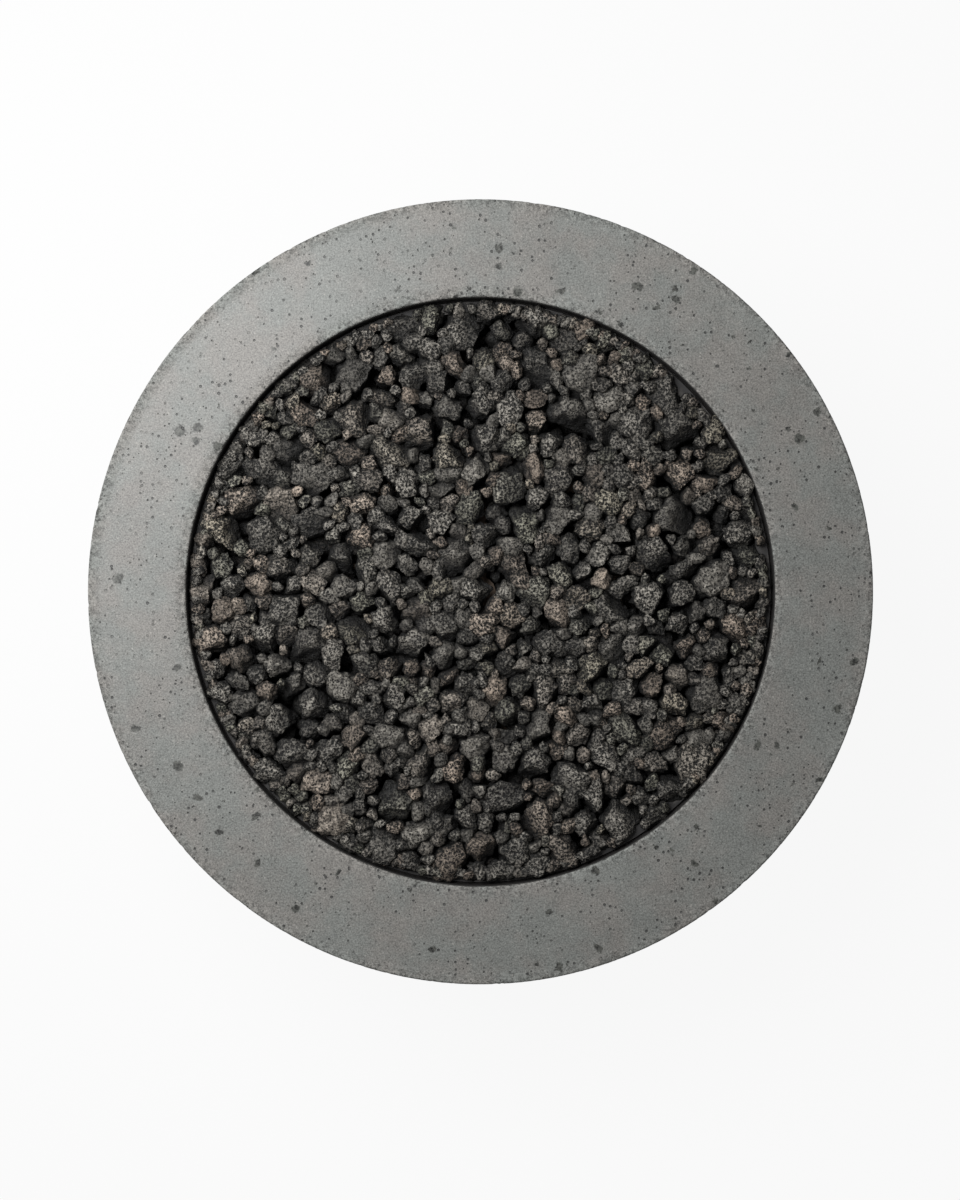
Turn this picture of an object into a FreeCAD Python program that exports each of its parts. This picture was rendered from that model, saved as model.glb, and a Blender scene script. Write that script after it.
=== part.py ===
import FreeCAD, Part
import math
import os
import random
import re

import Sketcher

# Round gas fire pit table: a cast concrete top ring on a cast concrete drum, with a drop-in
# steel fire pan, a ring burner and a bed of lava rock. Origin on the ground at the centre,
# +Z up. The control panel faces -Y and the service door faces +Y. Sizes are in millimetres.

SIZES = {
    # Whole table
    "TableDiameter": 1219,
    "TableHeight": 406,
    "OpeningDiameter": 914,
    # Cast top ring
    "TopThickness": 51,
    "TopOverhang": 20,
    "OuterArris": 4,
    "InnerArris": 3,
    "LedgeDepth": 30,
    "LedgeWidth": 14,
    "DripInset": 8,
    "DripWidth": 6,
    # Cast drum
    "DrumWall": 25,
    "SeatFlange": 90,
    "FootFlange": 76,
    "FlangeThickness": 25,
    "DrumArris": 4,
    "BossMargin": 18,
    "RecessGap": 2,
    "CutOver": 5,
    # Bearing pads and dowels between drum and top ring
    "PadThickness": 5,
    "PadRadius": 20,
    "PadCircle": 562,
    "DowelRadius": 6,
    "DowelDepth": 20,
    "DowelCircle": 525,
    "FitGap": 0.1,
    # Control panel on the front
    "FlatDepth": 14,
    "BossDepth": 19,
    "PanelWidth": 220,
    "PanelHeight": 120,
    "PanelDrop": 160,
    "PanelSheet": 2,
    "PanelLip": 20,
    "PlateCorner": 6,
    "ControlSpacing": 55,
    # Screws of the panel and the door frame
    "ScrewRadius": 2.4,
    "ScrewLength": 16,
    "ScrewHeadRadius": 4.6,
    "ScrewHeadHeight": 2.6,
    "ScrewInset": 9,
    # Gas valve
    "ValveWidth": 62,
    "ValveHeight": 46,
    "ValveDepth": 42,
    "ValveNeckRadius": 8,
    "ValveNeckProud": 1,
    "ValveNutFlats": 22,
    "ValveNutHeight": 4,
    "PlugRadius": 10,
    "PlugLength": 18,
    "PlugInset": 14,
    "StemRadius": 4,
    "StemFlat": 2.6,
    "RunningGap": 0.05,
    "KnobRadius": 23,
    "KnobTipRadius": 20,
    "KnobHeight": 18,
    "KnobClear": 1.5,
    "KnobCavityRadius": 15,
    "KnobCavity": 7,
    "KnobGripWidth": 11,
    "KnobGripDepth": 7,
    "KnobBevel": 2,
    "PushTravel": 3,
    # Push igniter
    "IgniterRadius": 11,
    "IgniterBore": 8,
    "IgniterCollar": 14,
    "IgniterCollarHeight": 4,
    "IgniterLength": 86,
    "IgniterEnd": 3,
    "IgniterNutFlats": 27,
    "IgniterNutHeight": 5,
    "BatteryRadius": 7.1,
    "BatteryLength": 50.5,
    "ButtonRadius": 7.95,
    "ButtonLength": 16,
    "ButtonTravel": 4,
    "ButtonStays": 1,
    "SpringRadius": 5,
    "SpringWire": 1,
    "SpringTurns": 4,
    # Vents on both sides
    "VentWidth": 200,
    "VentHeight": 90,
    "VentLevel": 190,
    "VentSheet": 1.5,
    "VentLip": 15,
    "VentSleeve": 12,
    "LouvreWidth": 150,
    "LouvrePitch": 14,
    "LouvreSlot": 8,
    "LouvreReach": 7,
    "LouvreCount": 4,
    # Service door at the back
    "DoorFlatDepth": 26,
    "DoorWidth": 270,
    "DoorHeight": 190,
    "DoorLevel": 172,
    "DoorSheet": 2.5,
    "DoorGap": 0.5,
    "DoorFrameMargin": 20,
    "DoorFrameSheet": 3,
    "DoorFrameLip": 28,
    "HingeRadius": 3.5,
    "HingePin": 1.8,
    "HingeKnuckle": 15,
    "HingeInset": 24,
    "HingeSide": 4,
    "HingeRise": 2,
    "PullAcross": 110,
    "PullRadius": 10,
    "PullNeck": 5,
    "PullReach": 12,
    "PullBevel": 2,
    "MagnetWidth": 12,
    "MagnetHeight": 34,
    "MagnetDepth": 9,
    "MagnetGap": 0.3,
    # Fire pan
    "SideGap": 0.3,
    "GasketThickness": 3,
    "PanSheet": 2,
    "PanBend": 4,
    "PanDepth": 64,
    "PanEdgeGap": 3,
    "PanWallGap": 4,
    "DrainRadius": 5,
    "DrainCircle": 385,
    # Ring burner
    "BurnerRadius": 215,
    "TubeWidth": 24,
    "TubeHeight": 20,
    "TubeWall": 1.5,
    "SpokeWidth": 18,
    "BurnerLift": 12,
    "HubRadius": 24,
    "PortRadius": 1.6,
    "PortCount": 12,
    "BurnerFootRadius": 7,
    # Gas train under the pan
    "NippleRadius": 10.6,
    "NippleBore": 7.5,
    "NippleDrop": 30,
    "NippleGrip": 8,
    "WasherRadius": 20,
    "WasherThickness": 2,
    "LocknutFlats": 32,
    "LocknutHeight": 7,
    "MixerRadius": 15,
    "MixerLength": 52,
    "MixerGrip": 12,
    "MixerHole": 4.5,
    "FlareRadius": 7.94,
    "FlareBore": 4,
    "FlareLength": 16,
    "HoseRadius": 8,
    "HoseNutFlats": 22,
    "HoseNutLength": 20,
    "PortSpacing": 17,
    "PortRise": 6,
    # Gas supply inlet on the front, low down on the left
    "InletAcross": -190,
    "InletLevel": 64,
    "InletFlatDepth": 42,
    "InletBossDepth": 28,
    "InletRecess": 56,
    "InletFlats": 27,
    "InletHexHeight": 6,
    "InletThread": 8,
    # Igniter electrode and flame sensor
    "HoodWidth": 46,
    "HoodLength": 50,
    "HoodHeight": 34,
    "HoodSheet": 1.5,
    "HoodAcross": 48,
    "HoodForward": -125,
    "SensorSpacing": 11,
    "SensorHeight": 24,
    "SensorDrop": 18,
    "ElectrodeRadius": 3.5,
    "ElectrodeTip": 1.2,
    "ElectrodeGrip": 10,
    "ProbeRadius": 3,
    "LeadRadius": 1.6,
    "ProbeDrop": 12,
    # Lava rock
    "RockEdgeGap": 2,
    "RockBedDepth": 22,
    "RockHeight": 19,
    "RockSmall": 30,
    "RockLarge": 70,
    "RockGap": 1.2,
    "RockCover": 1.5,
    "RockUneven": 8,
}

# Places that follow from the sizes. A radius or distance is measured from the table's axis,
# a level from the ground.
PLACES = {
    "TopRadius": "TableDiameter / 2",
    "OpeningRadius": "OpeningDiameter / 2",
    "TopUnder": "TableHeight - TopThickness",
    "LedgeLevel": "TableHeight - LedgeDepth",
    "LedgeRadius": "OpeningRadius - LedgeWidth",
    "DrumRadius": "TopRadius - TopOverhang",
    "DrumInside": "DrumRadius - DrumWall",
    "DrumTop": "TopUnder - PadThickness",
    # Flats in the drum
    "PanelFlat": "DrumRadius - FlatDepth",
    "PanelBack": "PanelFlat - BossDepth",
    "PanelFace": "PanelFlat + PanelSheet",
    "DoorFlat": "DrumRadius - DoorFlatDepth",
    "DoorFlatBack": "DoorFlat - BossDepth",
    "FrameWidth": "DoorWidth + 2 * DoorFrameMargin",
    "FrameHeight": "DoorHeight + 2 * DoorFrameMargin",
    "FrameFace": "DoorFlat + DoorFrameSheet",
    "DoorBack": "FrameFace + DoorGap",
    "DoorFace": "DoorBack + DoorSheet",
    "PinAcross": "DoorWidth / 2 + HingeSide",
    "PinOut": "DoorFace + HingeRise",
    "InletFlat": "DrumRadius - InletFlatDepth",
    "InletBack": "InletFlat - InletBossDepth",
    # Fire pan and burner
    "PanRim": "LedgeLevel + GasketThickness",
    "PanUnder": "PanRim - PanDepth",
    "PanFloor": "PanUnder + PanSheet",
    "PanWallRadius": "LedgeRadius - PanWallGap",
    "PanRimRadius": "OpeningRadius - PanEdgeGap",
    "TubeUnder": "PanFloor + BurnerLift",
    "TubeTop": "TubeUnder + TubeHeight",
    "HubUnder": "PanFloor + WasherThickness + LocknutHeight",
    "NippleTop": "HubUnder + NippleGrip",
    "NippleEnd": "PanUnder - NippleDrop",
    "MixerTop": "NippleEnd + MixerGrip",
    "MixerEnd": "MixerTop - MixerLength",
    "MixerFlareEnd": "MixerEnd - FlareLength",
    # Controls
    "PanelLevel": "DrumTop - PanelDrop",
    "ValveBack": "PanelFlat - ValveDepth",
    "ValveFlareEnd": "ValveBack - FlareLength",
    "NeckEnd": "PanelFace + ValveNutHeight + ValveNeckProud",
    "PlugFront": "PanelFlat - PlugInset",
    "PlugEnd": "PlugFront - PlugLength",
    "KnobBack": "PanelFace + PushTravel + KnobClear",
    "KnobFront": "KnobBack + KnobHeight",
    "PortLevel": "PanelLevel + PortRise",
    "IgniterFront": "PanelFace + IgniterCollarHeight",
    "IgniterBack": "IgniterFront - IgniterLength",
    "BatteryFront": "IgniterBack + IgniterEnd + BatteryLength",
    "ButtonFront": "IgniterFront + ButtonTravel + ButtonStays",
    "ButtonBack": "ButtonFront - ButtonLength",
    "InletEnd": "InletBack - InletHexHeight - FlareLength",
    # Lava rock
    "RockBed": "TableHeight - RockBedDepth",
    "RockRadius": "OpeningRadius - RockEdgeGap",
}

doc = FreeCAD.newDocument("fire_pit_table")
sizes = doc.addObject("Spreadsheet::Sheet", "Sizes")
for row, (alias, number) in enumerate(SIZES.items(), 1):
    sizes.set(f"A{row}", alias)
    sizes.set(f"B{row}", str(number))
    sizes.setAlias(f"B{row}", alias)
doc.recompute()


def tied(text, at_home=False):
    """A formula in which each size is led by the name of the sheet that holds it."""
    def lead(match):
        word = match.group(0)
        if word in SIZES:
            return "Sizes." + word
        if word in PLACES and not at_home:
            return "Places." + word
        return word
    return re.sub(r"[A-Za-z]\w*", lead, text)


places = doc.addObject("Spreadsheet::Sheet", "Places")
for row, (alias, formula) in enumerate(PLACES.items(), 1):
    places.set(f"A{row}", alias)
    places.set(f"B{row}", "=" + tied(formula, at_home=True))
    places.setAlias(f"B{row}", alias)
doc.recompute()


def read(name):
    """The number that a size or a place has now."""
    holder = places if name in PLACES else sizes
    return float(getattr(holder, name))


UPRIGHT = FreeCAD.Rotation()
TO_FRONT = FreeCAD.Rotation(FreeCAD.Vector(1, 0, 0), 90)
TO_BACK = FreeCAD.Rotation(FreeCAD.Vector(1, 0, 0), -90)
TO_SIDE = FreeCAD.Rotation(FreeCAD.Vector(0, 1, 0), 90)
ABOUT = FreeCAD.Vector(0, 0, 1)
pieces = []


def piece(item, label):
    """Marks a finished sub-part, which gets a file of its own."""
    item.Label = label
    pieces.append(item)
    return item


def turned_about(item, angle):
    """Turns a finished item about the table's axis."""
    item.Placement = FreeCAD.Placement(FreeCAD.Vector(), FreeCAD.Rotation(ABOUT, angle))
    return item


def placed(item, spot, turn=UPRIGHT):
    item.Placement = FreeCAD.Placement(FreeCAD.Vector(), turn)
    for axis, text in zip("xyz", spot):
        item.setExpression(f".Placement.Base.{axis}", tied(text))
    return item


def rod(name, radius, length, spot=("0", "0", "0"), turn=UPRIGHT):
    item = doc.addObject("Part::Cylinder", name)
    item.setExpression("Radius", tied(radius))
    item.setExpression("Height", tied(length))
    return placed(item, spot, turn)


def hexagon(name, flats, length, spot=("0", "0", "0"), turn=UPRIGHT):
    item = doc.addObject("Part::Prism", name)
    item.Polygon = 6
    item.setExpression("Circumradius", tied(f"{flats} / 2 / cos(30)"))
    item.setExpression("Height", tied(length))
    return placed(item, spot, turn)


def block(name, across, deep, tall, spot):
    """A box centred on x and z, and reaching back from the y of its front face."""
    item = doc.addObject("Part::Box", name)
    item.setExpression("Length", tied(across))
    item.setExpression("Width", tied(deep))
    item.setExpression("Height", tied(tall))
    x, y, z = spot
    return placed(item, (f"{x} - ({across}) / 2", y, f"{z} - ({tall}) / 2"))


def fused(name, *items):
    item = doc.addObject("Part::MultiFuse", name)
    item.Shapes = list(items)
    return item


def cut(name, base, *tools):
    item = doc.addObject("Part::Cut", name)
    item.Base = base
    item.Tool = tools[0] if len(tools) == 1 else fused(name + "_tools", *tools)
    return item


def group(name, *items):
    item = doc.addObject("Part::Compound", name)
    item.Links = list(items)
    return item


def copy_about(item, angle):
    """The same item once more, turned about the table's axis."""
    link = doc.addObject("App::Link", f"{item.Name}_{round(angle) % 360}")
    link.LinkedObject = item
    link.LinkTransform = True
    return turned_about(link, angle)


def copies_about(item, count, start=0.0):
    return [copy_about(item, start + 360.0 * index / count) for index in range(count)]


def copy_at(item, spot):
    """The same item once more, moved by a formula."""
    link = doc.addObject("App::Link", f"{item.Name}_copy")
    link.LinkedObject = item
    link.LinkTransform = True
    return placed(link, spot)


def outline(body, name, role, corners):
    """A closed sketch in one of the body's planes, each corner tied to two formulas."""
    sketch = body.newObject("Sketcher::SketchObject", name)
    plane = [item for item in body.Origin.OriginFeatures if item.Role == role][0]
    sketch.AttachmentSupport = [(plane, "")]
    sketch.MapMode = "FlatFace"
    count = len(corners)
    start = [
        FreeCAD.Vector(math.cos(2 * math.pi * i / count), math.sin(2 * math.pi * i / count), 0)
        for i in range(count)
    ]
    for i in range(count):
        sketch.addGeometry(Part.LineSegment(start[i], start[(i + 1) % count]), False)
    for i in range(count):
        sketch.addConstraint(Sketcher.Constraint("Coincident", i, 2, (i + 1) % count, 1))
    for i, corner in enumerate(corners):
        for direction, text in zip(("DistanceX", "DistanceY"), corner):
            number = sketch.addConstraint(Sketcher.Constraint(direction, -1, 1, i, 1, 1.0))
            sketch.setExpression(f"Constraints[{number}]", tied(text))
    return sketch


def turned(name, corners, spot=("0", "0", "0"), turn=UPRIGHT):
    """A body of revolution, its section given as radius and height."""
    body = doc.addObject("PartDesign::Body", name)
    section = outline(body, name + "_section", "XZ_Plane", corners)
    feature = body.newObject("PartDesign::Revolution", name + "_turned")
    feature.Profile = section
    feature.ReferenceAxis = (section, ["V_Axis"])
    feature.Angle = 360
    return placed(body, spot, turn)


def circle_sketch(body, name, level, radius, across):
    """A circle beside the axis, in a level plane of the body."""
    sketch = body.newObject("Sketcher::SketchObject", name)
    plane = [item for item in body.Origin.OriginFeatures if item.Role == "XY_Plane"][0]
    sketch.AttachmentSupport = [(plane, "")]
    sketch.MapMode = "FlatFace"
    sketch.setExpression("AttachmentOffset.Base.z", tied(level))
    circle = Part.Circle(FreeCAD.Vector(0, 0, 0), ABOUT, 1)
    number = sketch.addGeometry(circle, False)
    for direction, text in (("DistanceX", across), ("DistanceY", "0")):
        place = sketch.addConstraint(Sketcher.Constraint(direction, -1, 1, number, 3, 1.0))
        sketch.setExpression(f"Constraints[{place}]", tied(text))
    size = sketch.addConstraint(Sketcher.Constraint("Radius", number, 1.0))
    sketch.setExpression(f"Constraints[{size}]", tied(radius))
    return sketch


def holes_about(body, name, level, radius, across, depth, count, upwards=True):
    """A ring of equal holes in a turned body."""
    pocket = body.newObject("PartDesign::Pocket", name)
    pocket.Profile = circle_sketch(body, name + "_circle", level, radius, across)
    pocket.setExpression("Length", tied(depth))
    pocket.Reversed = upwards
    ring = body.newObject("PartDesign::PolarPattern", name + "_ring")
    ring.Originals = [pocket]
    ring.Axis = (pocket.Profile[0], ["N_Axis"])
    ring.Angle = 360
    ring.Occurrences = count
    body.Tip = ring
    return ring


def rims(body, *circles):
    """The names of the body's circular edges with these radii and levels."""
    doc.recompute()
    names = []
    for number, edge in enumerate(body.Tip.Shape.Edges, 1):
        if edge.Curve.TypeId != "Part::GeomCircle":
            continue
        for radius, level in circles:
            if abs(edge.Curve.Radius - radius) < 0.01 and abs(edge.Curve.Center.z - level) < 0.01:
                names.append(f"Edge{number}")
    return names


def eased(body, name, radius, *circles):
    """Rounds the body's circular edges with these radii and levels."""
    base = body.Tip
    edges = rims(body, *circles)
    feature = body.newObject("PartDesign::Fillet", name)
    feature.Base = (base, edges)
    feature.setExpression("Radius", tied(radius))
    return feature


def rounded_plate(name, corner, *block_sizes):
    """A block whose four edges from front to back are rounded."""
    blank = block(name + "_blank", *block_sizes)
    doc.recompute()
    plate = doc.addObject("Part::Fillet", name)
    plate.Base = blank
    plate.Edges = [
        (number, corner, corner) for number, edge in enumerate(blank.Shape.Edges, 1)
        if abs(edge.tangentAt(edge.FirstParameter).y) > 0.5
    ]
    return plate


# Top ring: a flat cast ring with a ledge for the pan and a drip groove under the rim
top_ring = turned("top_ring", [
    ("OpeningRadius", "TableHeight"),
    ("TopRadius", "TableHeight"),
    ("TopRadius", "TopUnder"),
    ("TopRadius - DripInset", "TopUnder"),
    ("TopRadius - DripInset - DripWidth / 2", "TopUnder + DripWidth / 2"),
    ("TopRadius - DripInset - DripWidth", "TopUnder"),
    ("LedgeRadius", "TopUnder"),
    ("LedgeRadius", "LedgeLevel"),
    ("OpeningRadius", "LedgeLevel"),
])
eased(top_ring, "outer_arris", "OuterArris", (read("TopRadius"), read("TableHeight")))
eased(top_ring, "inner_arris", "InnerArris", (read("OpeningRadius"), read("TableHeight")))
holes_about(top_ring, "top_dowel_holes", "TopUnder", "DowelRadius + FitGap", "DowelCircle",
            "DowelDepth + FitGap", 4)
piece(top_ring, "top_ring")

# Bearing pads and dowels that set the ring on the drum
pad = rod("pad", "PadRadius", "PadThickness", ("PadCircle", "0", "DrumTop"))
piece(group("top_pads", *copies_about(pad, 8, 22.5)), "top_pads")
dowel = rod("dowel", "DowelRadius", "2 * DowelDepth + PadThickness",
            ("DowelCircle", "0", "DrumTop - DowelDepth"))
piece(group("locating_dowels", *copies_about(dowel, 4)), "locating_dowels")

# Drum: a cast shell with a seat flange, a foot flange, and thickened flats for the fittings
casting = turned("drum_casting", [
    ("DrumRadius - FootFlange", "0"),
    ("DrumRadius - DrumArris", "0"),
    ("DrumRadius", "DrumArris"),
    ("DrumRadius", "DrumTop"),
    ("DrumRadius - SeatFlange", "DrumTop"),
    ("DrumRadius - SeatFlange", "DrumTop - FlangeThickness"),
    ("DrumInside", "DrumTop - FlangeThickness"),
    ("DrumInside", "FlangeThickness"),
    ("DrumRadius - FootFlange", "FlangeThickness"),
])
holes_about(casting, "drum_dowel_holes", "DrumTop", "DowelRadius + FitGap", "DowelCircle",
            "DowelDepth + FitGap", 4, upwards=False)

bosses = []
cutters = []


def opening_in_drum(name, angle, wide, tall, level, flat, back, lip):
    """A flat recess with a thickened rim and a way through, made at the front and turned."""
    front = "-DrumRadius - CutOver"
    boss = block(name + "_boss", f"{wide} + 2 * BossMargin", f"DrumRadius - {back}",
                 f"{tall} + 2 * BossMargin", ("0", "-DrumRadius", level))
    recess = rounded_plate(name + "_recess", read("PlateCorner") + read("RecessGap"),
                           f"{wide} + 2 * RecessGap", f"DrumRadius + CutOver - {flat}",
                           f"{tall} + 2 * RecessGap", ("0", front, level))
    way = block(name + "_way", f"{wide} - 2 * {lip}", f"DrumRadius + 2 * CutOver - {back}",
                f"{tall} - 2 * {lip}", ("0", front, level))
    bosses.append(copy_about(boss, angle))
    cutters.append(copy_about(recess, angle))
    cutters.append(copy_about(way, angle))


opening_in_drum("panel", 0, "PanelWidth", "PanelHeight", "PanelLevel", "PanelFlat", "PanelBack",
                "PanelLip")
opening_in_drum("vent_east", 90, "VentWidth", "VentHeight", "VentLevel", "PanelFlat",
                "PanelBack", "VentLip")
opening_in_drum("vent_west", -90, "VentWidth", "VentHeight", "VentLevel", "PanelFlat",
                "PanelBack", "VentLip")
opening_in_drum("door", 180, "FrameWidth", "FrameHeight", "DoorLevel", "DoorFlat",
                "DoorFlatBack", "DoorFrameLip")

INLET = ("InletAcross", "-InletFlat", "InletLevel")
bosses.append(block("inlet_boss", "InletRecess + BossMargin", "DrumRadius - InletBack",
                    "InletRecess + BossMargin", ("InletAcross", "-DrumRadius", "InletLevel")))
cutters.append(rod("inlet_recess", "InletRecess / 2", "InletFlatDepth", INLET, TO_FRONT))
cutters.append(rod("inlet_way", "InletThread + FitGap", "InletBossDepth + CutOver", INLET, TO_BACK))


def corner_screws(name, wide, tall, level, face, angle):
    """Four screws near the corners of a plate, and the holes that they need."""
    head = rod(name + "_head", "ScrewHeadRadius", "ScrewHeadHeight", turn=TO_FRONT)
    shank = rod(name + "_shank", "ScrewRadius", "ScrewLength", turn=TO_BACK)
    screw = fused(name + "_one", head, shank)
    hole = rod(name + "_hole", "ScrewRadius + FitGap", "ScrewLength + FitGap", turn=TO_BACK)
    screws = []
    holes = []
    for side in ("-", "+"):
        for rise in ("-", "+"):
            spot = (f"0 {side} ({wide} / 2 - ScrewInset)", f"-{face}",
                    f"{level} {rise} ({tall} / 2 - ScrewInset)")
            screws.append(copy_at(screw, spot))
            holes.append(copy_at(hole, spot))
    piece(turned_about(group(name, *screws), angle), name)
    return group(name + "_holes", *holes)


panel_holes = corner_screws("control_screws", "PanelWidth", "PanelHeight", "PanelLevel",
                            "PanelFace", 0)
frame_holes = corner_screws("door_frame_screws", "FrameWidth", "FrameHeight", "DoorLevel",
                            "FrameFace", 180)
cutters.append(panel_holes)
cutters.append(copy_about(frame_holes, 180))

inner_face = rod("inner_face", "DrumRadius - DrumWall / 2", "DrumTop")
thick = doc.addObject("Part::Common", "bosses_inside")
thick.Base = fused("all_bosses", *bosses)
thick.Tool = inner_face
drum = cut("drum_shell", fused("drum_solid", casting, thick), *cutters)
piece(drum, "drum_shell")

# Control plate with its two holes
VALVE = ("-ControlSpacing", "-PanelFlat", "PanelLevel")
IGNITER = ("ControlSpacing", "-PanelFlat", "PanelLevel")
plate = rounded_plate("plate_sheet", read("PlateCorner"), "PanelWidth", "PanelSheet",
                      "PanelHeight", ("0", "-PanelFace", "PanelLevel"))
neck_hole = rod("neck_hole", "ValveNeckRadius + FitGap", "CutOver", VALVE, TO_FRONT)
barrel_hole = rod("barrel_hole", "IgniterRadius + FitGap", "CutOver", IGNITER, TO_FRONT)
piece(cut("control_plate", plate, panel_holes, neck_hole, barrel_hole), "control_plate")

# Gas valve: body with a threaded neck and two flare ports, turning plug, sliding stem, knob
valve_box = block("valve_box", "ValveWidth", "ValveDepth", "ValveHeight", VALVE)
neck = rod("valve_neck", "ValveNeckRadius", "NeckEnd - PanelFlat", VALVE, TO_FRONT)
VALVE_PORTS = [
    (f"-ControlSpacing {side} PortSpacing", "-ValveBack", "PortLevel") for side in ("+", "-")
]
ports = [rod("valve_port", "FlareRadius", "FlareLength", spot, TO_BACK) for spot in VALVE_PORTS]
bores = [
    rod("valve_bore", "FlareBore", "FlareLength + CutOver",
        (x, f"{y} - CutOver", z), TO_BACK)
    for x, y, z in VALVE_PORTS
]
stem_bore = rod("stem_bore", "StemRadius + RunningGap", "NeckEnd - PlugEnd + PushTravel * 2",
                ("-ControlSpacing", "-NeckEnd", "PanelLevel"), TO_BACK)
plug_room = rod("plug_room", "PlugRadius + RunningGap", "PlugLength + 2 * RunningGap",
                ("-ControlSpacing", "-PlugFront - RunningGap", "PanelLevel"), TO_BACK)
piece(cut("gas_valve", fused("valve_solid", valve_box, neck, *ports), stem_bore, plug_room, *bores),
      "gas_valve")

STEM_END = ("-ControlSpacing", "-PlugEnd", "PanelLevel")


def stem_shape(name, gap, length, start):
    """The D section of the stem, as a rod or as the hole round it, from a y outwards."""
    x, y, z = start
    round_bar = rod(name + "_round", f"StemRadius + {gap}", length, start, TO_FRONT)
    flat = block(name + "_flat", "4 * StemRadius", f"{length} + 2 * CutOver", "2 * StemRadius",
                 (x, f"{y} - ({length}) - CutOver", f"{z} + StemFlat + {gap} + StemRadius"))
    return cut(name, round_bar, flat)


plug = rod("plug_round", "PlugRadius", "PlugLength", STEM_END, TO_FRONT)
plug_hole = stem_shape("plug_hole", "RunningGap", "PlugLength + 2 * CutOver",
                       ("-ControlSpacing", "-PlugEnd + CutOver", "PanelLevel"))
piece(cut("valve_plug", plug, plug_hole), "valve_plug")
stem = stem_shape("valve_stem", "0", "KnobFront - KnobCavity / 2 - PlugEnd", STEM_END)
piece(stem, "valve_stem")
locknut = hexagon("valve_locknut_bar", "ValveNutFlats", "ValveNutHeight",
                  ("-ControlSpacing", "-PanelFace", "PanelLevel"), TO_FRONT)
locknut_bore = rod("valve_locknut_bore", "ValveNeckRadius + RunningGap", "3 * CutOver",
                   ("-ControlSpacing", "-PanelFlat", "PanelLevel"), TO_FRONT)
piece(cut("valve_locknut", locknut, locknut_bore), "valve_locknut")

KNOB = ("-ControlSpacing", "-KnobBack", "PanelLevel")
knob_body = turned("knob_body", [
    ("KnobCavityRadius", "0"),
    ("KnobRadius", "0"),
    ("KnobRadius", "KnobHeight - KnobGripDepth - KnobBevel"),
    ("KnobTipRadius", "KnobHeight - KnobGripDepth"),
    ("0", "KnobHeight - KnobGripDepth"),
    ("0", "KnobCavity"),
    ("KnobCavityRadius", "KnobCavity"),
], KNOB, TO_FRONT)
grip = block("knob_grip", "KnobGripWidth", "KnobHeight - KnobCavity",
             "2 * (KnobTipRadius - KnobBevel)",
             ("-ControlSpacing", "-KnobFront", "PanelLevel"))
knob_hole = stem_shape("knob_hole", "0", "KnobHeight - KnobCavity / 2", KNOB)
piece(cut("valve_knob", fused("knob_solid", knob_body, grip), knob_hole), "valve_knob")

# Push igniter: threaded barrel with its nut, battery, spring and button
barrel = turned("igniter_barrel", [
    ("0", "0"),
    ("IgniterRadius", "0"),
    ("IgniterRadius", "IgniterLength - IgniterCollarHeight"),
    ("IgniterCollar", "IgniterLength - IgniterCollarHeight"),
    ("IgniterCollar", "IgniterLength"),
    ("IgniterBore", "IgniterLength"),
    ("IgniterBore", "IgniterEnd"),
    ("0", "IgniterEnd"),
], ("ControlSpacing", "-IgniterBack", "PanelLevel"), TO_FRONT)
piece(barrel, "igniter_barrel")
back_nut = hexagon("igniter_nut_bar", "IgniterNutFlats", "IgniterNutHeight", IGNITER, TO_BACK)
back_nut_bore = rod("igniter_nut_bore", "IgniterRadius + RunningGap", "2 * CutOver",
                    ("ControlSpacing", "-PanelFace", "PanelLevel"), TO_BACK)
piece(cut("igniter_nut", back_nut, back_nut_bore), "igniter_nut")
piece(rod("igniter_battery", "BatteryRadius", "BatteryLength",
          ("ControlSpacing", "-BatteryFront", "PanelLevel"), TO_BACK), "igniter_battery")
piece(rod("igniter_button", "ButtonRadius", "ButtonLength",
          ("ControlSpacing", "-ButtonFront", "PanelLevel"), TO_BACK), "igniter_button")


def spring_shape(radius, wire, length, turns):
    """A coil of square wire along +Z, shorter than its room by one wire at each end."""
    path = Part.makeHelix((length - 2 * wire) / turns, length - 2 * wire, radius)
    half = wire / 2
    square = Part.makePolygon([
        FreeCAD.Vector(radius + x, 0, z)
        for x, z in ((-half, -half), (half, -half), (half, half), (-half, half), (-half, -half))
    ])
    return Part.Wire(path).makePipeShell([square], True, True)


spring = doc.addObject("Part::Feature", "igniter_spring")
spring.Shape = spring_shape(read("SpringRadius"), read("SpringWire"),
                            read("ButtonBack") - read("BatteryFront"), read("SpringTurns"))
placed(spring, ("ControlSpacing", "-BatteryFront - SpringWire", "PanelLevel"), TO_FRONT)
piece(spring, "igniter_spring")


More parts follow.
